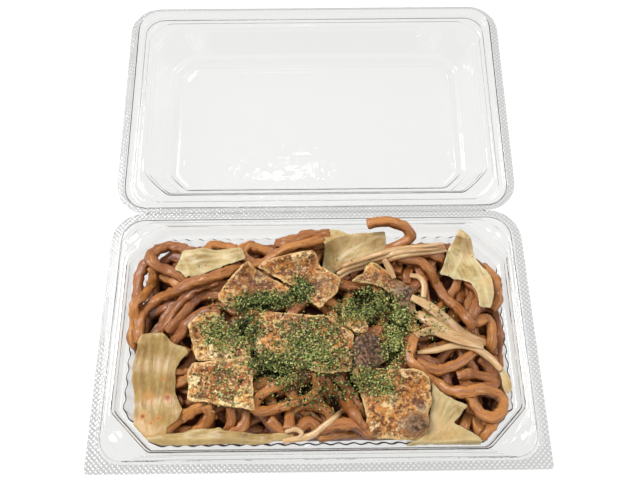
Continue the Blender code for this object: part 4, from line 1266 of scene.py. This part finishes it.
SPROUT_BAND = ((10, 27), (15, 30), (21, 32), (30, 35), (42, 38), (53, 39), (61, 40))
for number, offset in enumerate((-1.6, 0.4, 2.4), 1):
    route = [(x - 0.35 * offset, y + 0.9 * offset) for x, y in SPROUT_BAND]
    lay_sprout(number, route, (0.9, 1.5, 1.5, 1.1, 0.8), 0.7)

# %% [markdown]
# ## Pork
#
# The slices are thin, fried hard and crumpled, with pale rims. Two pieces in the middle right are
# darker and coarser. Each lies on the ones before it.

# %% Pork slices
SLICES = {
    "pork_1": dict(
        outline=((-33, 34), (-36, 31), (-42, 24), (-46, 17), (-46, 15), (-40, 11), (-36, 12), (-29, 14),
                 (-16, 15), (-12, 19), (-20, 24), (-25, 27), (-29, 30)),
        crumple=((7, 1.0), (18, 2.0)), lifts=((-33, 33, 6, 1.5), (-46, 16, 6, 1.0)), soaked=0.5,
        stains=((-30, 21, 9, 0.4),)),
    "pork_2": dict(
        outline=((-28, 31), (-25, 34), (-21, 35), (-14, 38), (-8, 39), (-2, 40), (0, 35), (1, 32), (6, 28),
                 (11, 24), (9, 18), (1, 11), (-5, 15), (-12, 21), (-20, 26)),
        crumple=((8, 1.6), (20, 2.0)), lifts=((-2, 38, 6, 1.5), (-18, 34, 8, 1.0)), soaked=0.35,
        stains=((-10, 28, 5, 0.3), (2, 22, 6, 0.45))),
    "pork_3": dict(
        outline=((-59, 3), (-54, 8), (-47, 9), (-43, 5), (-37, -2), (-31, -7), (-30, -12), (-46, -14),
                 (-54, -14), (-55, -11), (-57, -4)),
        crumple=((4, 1.6), (9, 2.0)), lifts=((-52, 5, 6, 1.2),)),
    "pork_4": dict(
        outline=((-56, -15), (-46, -14), (-30, -12), (-29, -14), (-29, -25), (-28, -36), (-38, -34), (-48, -33),
                 (-57, -31), (-57, -24), (-58, -20)),
        crumple=((5, 1.0), (16, 2.2)), lifts=((-56, -30, 6, 1.2), (-29, -34, 6, 1.2)),
        stains=((-51, -29, 3, 0.3), (-40, -20, 7, 0.2))),
    "pork_5": dict(
        outline=((-26, 8), (-21, 9), (-14, 8), (-7, 7), (6, 6), (11, 1), (16, -2), (16, -8), (15, -15),
                 (15, -19), (5, -20), (-1, -20), (-8, -17), (-17, -13), (-24, -12), (-28, -10), (-27, -3)),
        crumple=((5, 1.4), (14, 2.0)), lifts=((-24, 3, 6, 1.0), (12, -18, 6, 1.0)), soaked=0.3,
        stains=((-8, -2, 5, 0.35),)),
    "pork_6": dict(
        outline=((15, -18), (24, -18), (31, -18), (41, -19), (46, -20), (49, -23), (49, -29), (49, -34),
                 (47, -38), (47, -45), (43, -49), (38, -49), (32, -48), (25, -48), (19, -46), (21, -40),
                 (20, -35), (19, -29), (16, -22)),
        crumple=((6, 1.6), (15, 2.6)), lifts=((41, -44, 7, 3.0), (30, -30, 9, 1.5), (24, -46, 6, 1.0)),
        stains=((42, -43, 7, 1.1), (45, -37, 4, 0.5)), soaked=0.4),
    "pork_7": dict(
        outline=((11, 8), (14, 9), (20, 6), (23, 2), (22, -2), (17, -2), (12, 3)),
        crumple=((4, 1.8),), lifts=((16, 5, 5, 1.5),)),
    "pork_8": dict(
        outline=((16, 23), (19, 26), (22, 27), (23, 31), (26, 33), (29, 31), (33, 28), (35, 25), (40, 22),
                 (44, 19), (45, 14), (45, 8), (39, 5), (36, 7), (36, 15), (32, 19), (24, 22)),
        crumple=((4, 2.0), (9, 2.0)), lifts=((24, 29, 5, 2.0), (31, 26, 4, 1.5), (40, 18, 6, 1.2)),
        stains=((41, 16, 9, 1.0), (40, 8, 7, 1.0), (20, 24, 3, 0.5), (28, 25, 3, 0.5)), soaked=0.4),
    "pork_9": dict(
        outline=((17, -4), (22, -2), (27, -3), (30, -8), (30, -15), (24, -18), (17, -18), (16, -10)),
        crumple=((3, 2.4), (8, 1.5), (1.7, 1.0)), lifts=((23, -9, 7, 1.2),), stains=((23, -10, 16, 1.2),)),
}
for seed, (node, cut) in enumerate(SLICES.items(), 11):
    cut["crumple"] += ((2.6, 1.2),)  # blisters of the fried skin
    lay_sheet(node + "_slice", finish=pork_finish, node=node, slot="fried_pork", seed=seed, thickness=1.8,
              ragged=0.4, **cut)

# %% [markdown]
# ## Sprouts over the pork
#
# Softened sprouts and thin strips fan out to the right of the pork, and two curl at the front.

# %% Sprouts on top
# route, half widths along it, and height as a share of width
SPROUTS = (
    (((32, 34), (34, 30), (36, 25)), (1.3, 1.7, 1.2), 0.6),
    (((44, 26), (48, 25), (50, 21), (49, 14)), (1.1, 1.5, 1.4), 0.7),
    (((44, 15), (51, 11), (61, 2), (68, -4), (76, -7)), (1.7, 2.5, 2.5, 2.3, 1.7), 0.4),
    (((46, 7), (54, 2), (62, -4), (74, -8)), (2.2, 3.0, 2.8, 1.7), 0.4),
    (((45, -3), (52, -1), (60, -4), (74, -9)), (1.4, 2.3, 2.3, 1.5), 0.4),
    (((45, -11), (53, -10), (62, -8), (70, -9), (77, -14), (81, -19)), (0.9, 1.5, 1.5, 1.8, 1.9, 1.4), 0.5),
    (((-15, -49), (-4, -47), (2, -43), (10, -37)), (1.1, 1.5, 1.5, 1.2), 0.7),
    (((-14, -45), (-10, -44), (-7, -46), (-9, -48)), (0.9, 1.2, 1.2, 0.9), 0.7),
)
for number, (route, widths, flat) in enumerate(SPROUTS, 4):
    lay_sprout(number, route, widths, flat)

# %% [markdown]
# ## Green laver flakes
#
# Dried laver is shaken over the middle. Each flake is a bent scrap a millimetre or so across, and
# some ten thousand of them in one mesh make the mossy patches. Fields say where they are thick.

# %% Laver finish
laver_finish, tree, shader = new_finish("laver_flakes", roughness=0.62, specular_ior_level=0.3)
tone = attribute(tree, "tone")
ramp = put(tree, "ShaderNodeValToRGB", {0: tone})
ramp.color_ramp.elements[0].color = (0.018, 0.030, 0.017, 1.0)
ramp.color_ramp.elements[1].color = (0.68, 0.66, 0.24, 1.0)
for place, shade in ((0.3, (0.085, 0.14, 0.042)), (0.6, (0.26, 0.31, 0.07))):
    ramp.color_ramp.elements.new(place).color = (*shade, 1.0)
tree.links.new(ramp.outputs[0], shader.inputs["Base Color"])

# %% Scatter the flakes
# x, y, reach along, reach across, lean of the field in degrees, flakes, brightness, piled height
FIELDS = (
    (-24, 14, 18, 5, 4, 900, 0.40, 1.4),
    (-7, 20, 5, 6, 20, 260, 0.34, 1.2),
    (23, 11, 15, 8, 10, 1000, 0.50, 1.6),
    (-44, -2, 12, 8, -35, 420, 0.62, 0.8),
    (-2, -11, 17, 9, -8, 900, 0.52, 0.9),
    (-20, -17, 14, 7, -25, 620, 0.43, 1.0),
    (34, -8, 6, 11, 0, 460, 0.60, 0.9),
    (38, 4, 7, 7, 0, 420, 0.50, 0.8),
    (-32, 0, 8, 9, 0, 420, 0.42, 1.0),
    (-4, 1, 19, 6, 0, 330, 0.50, 0.5),
    (24, -24, 12, 7, -15, 420, 0.55, 0.4),
    (-42, -24, 14, 11, 0, 160, 0.50, 0.2),
    (0, -29, 22, 8, 0, 260, 0.42, 0.4),
    (52, 4, 9, 12, 0, 110, 0.55, 0.2),
    (0, 4, 60, 34, 0, 160, 0.45, 0.1),
)
FLAKE = np.array(((-1, -0.5, 0.15), (0.9, -0.6, -0.1), (1.1, 0.45, 0.2), (-0.8, 0.6, -0.05),
                  (0.1, 0.0, 0.45), (0.1, 0.05, 0.1)))
FLAKE_FACES = ((0, 1, 4), (1, 2, 4), (2, 3, 4), (3, 0, 4), (1, 0, 5), (2, 1, 5), (3, 2, 5), (0, 3, 5))
draw = np.random.default_rng(4)
flakes = Bundle()
PLENTY = 1.5  # flakes for each one that a field names
for x, y, reach_x, reach_y, lean, count, bright, piled in FIELDS:
    count = round(count * PLENTY)
    out, spin = np.sqrt(draw.random(count)) ** 1.15, draw.random(count) * math.tau
    out *= draw.uniform(0.60, 1.32, count)  # a soft edge, thinner outwards
    along, across = reach_x * out * np.cos(spin), reach_y * out * np.sin(spin)
    turned = math.radians(lean)
    seen = np.column_stack((x + along * math.cos(turned) - across * math.sin(turned),
                            y + along * math.sin(turned) + across * math.cos(turned)))
    spots = seen
    for _ in range(2):
        z = ground.top(spots[:, 0], spots[:, 1], 0.5)
        spots = slide(seen, z)
    z = z + 0.1 + piled * draw.random(count) ** 1.6
    for spot, high in zip(spots, z):
        size = draw.uniform(0.30, 0.78)
        corners = FLAKE * (1, draw.uniform(0.5, 1.0), 1) * size
        corners = corners + draw.normal(0, 0.1, corners.shape)
        spin, tip = draw.uniform(0, math.tau), draw.normal(0, 0.45, 2)
        bent = Matrix.Rotation(spin, 3, "Z") @ Matrix.Rotation(tip[0], 3, "X") @ Matrix.Rotation(tip[1], 3, "Y")
        points = corners @ np.array(bent).T + (*spot, high)
        flakes.add(points, (FLAKE_FACES,), np.zeros(points.shape), np.clip(draw.normal(bright + 0.05, 0.38), 0, 1))
laver = flakes.make("laver_flakes", laver_finish)
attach(laver, "tray_with_food")
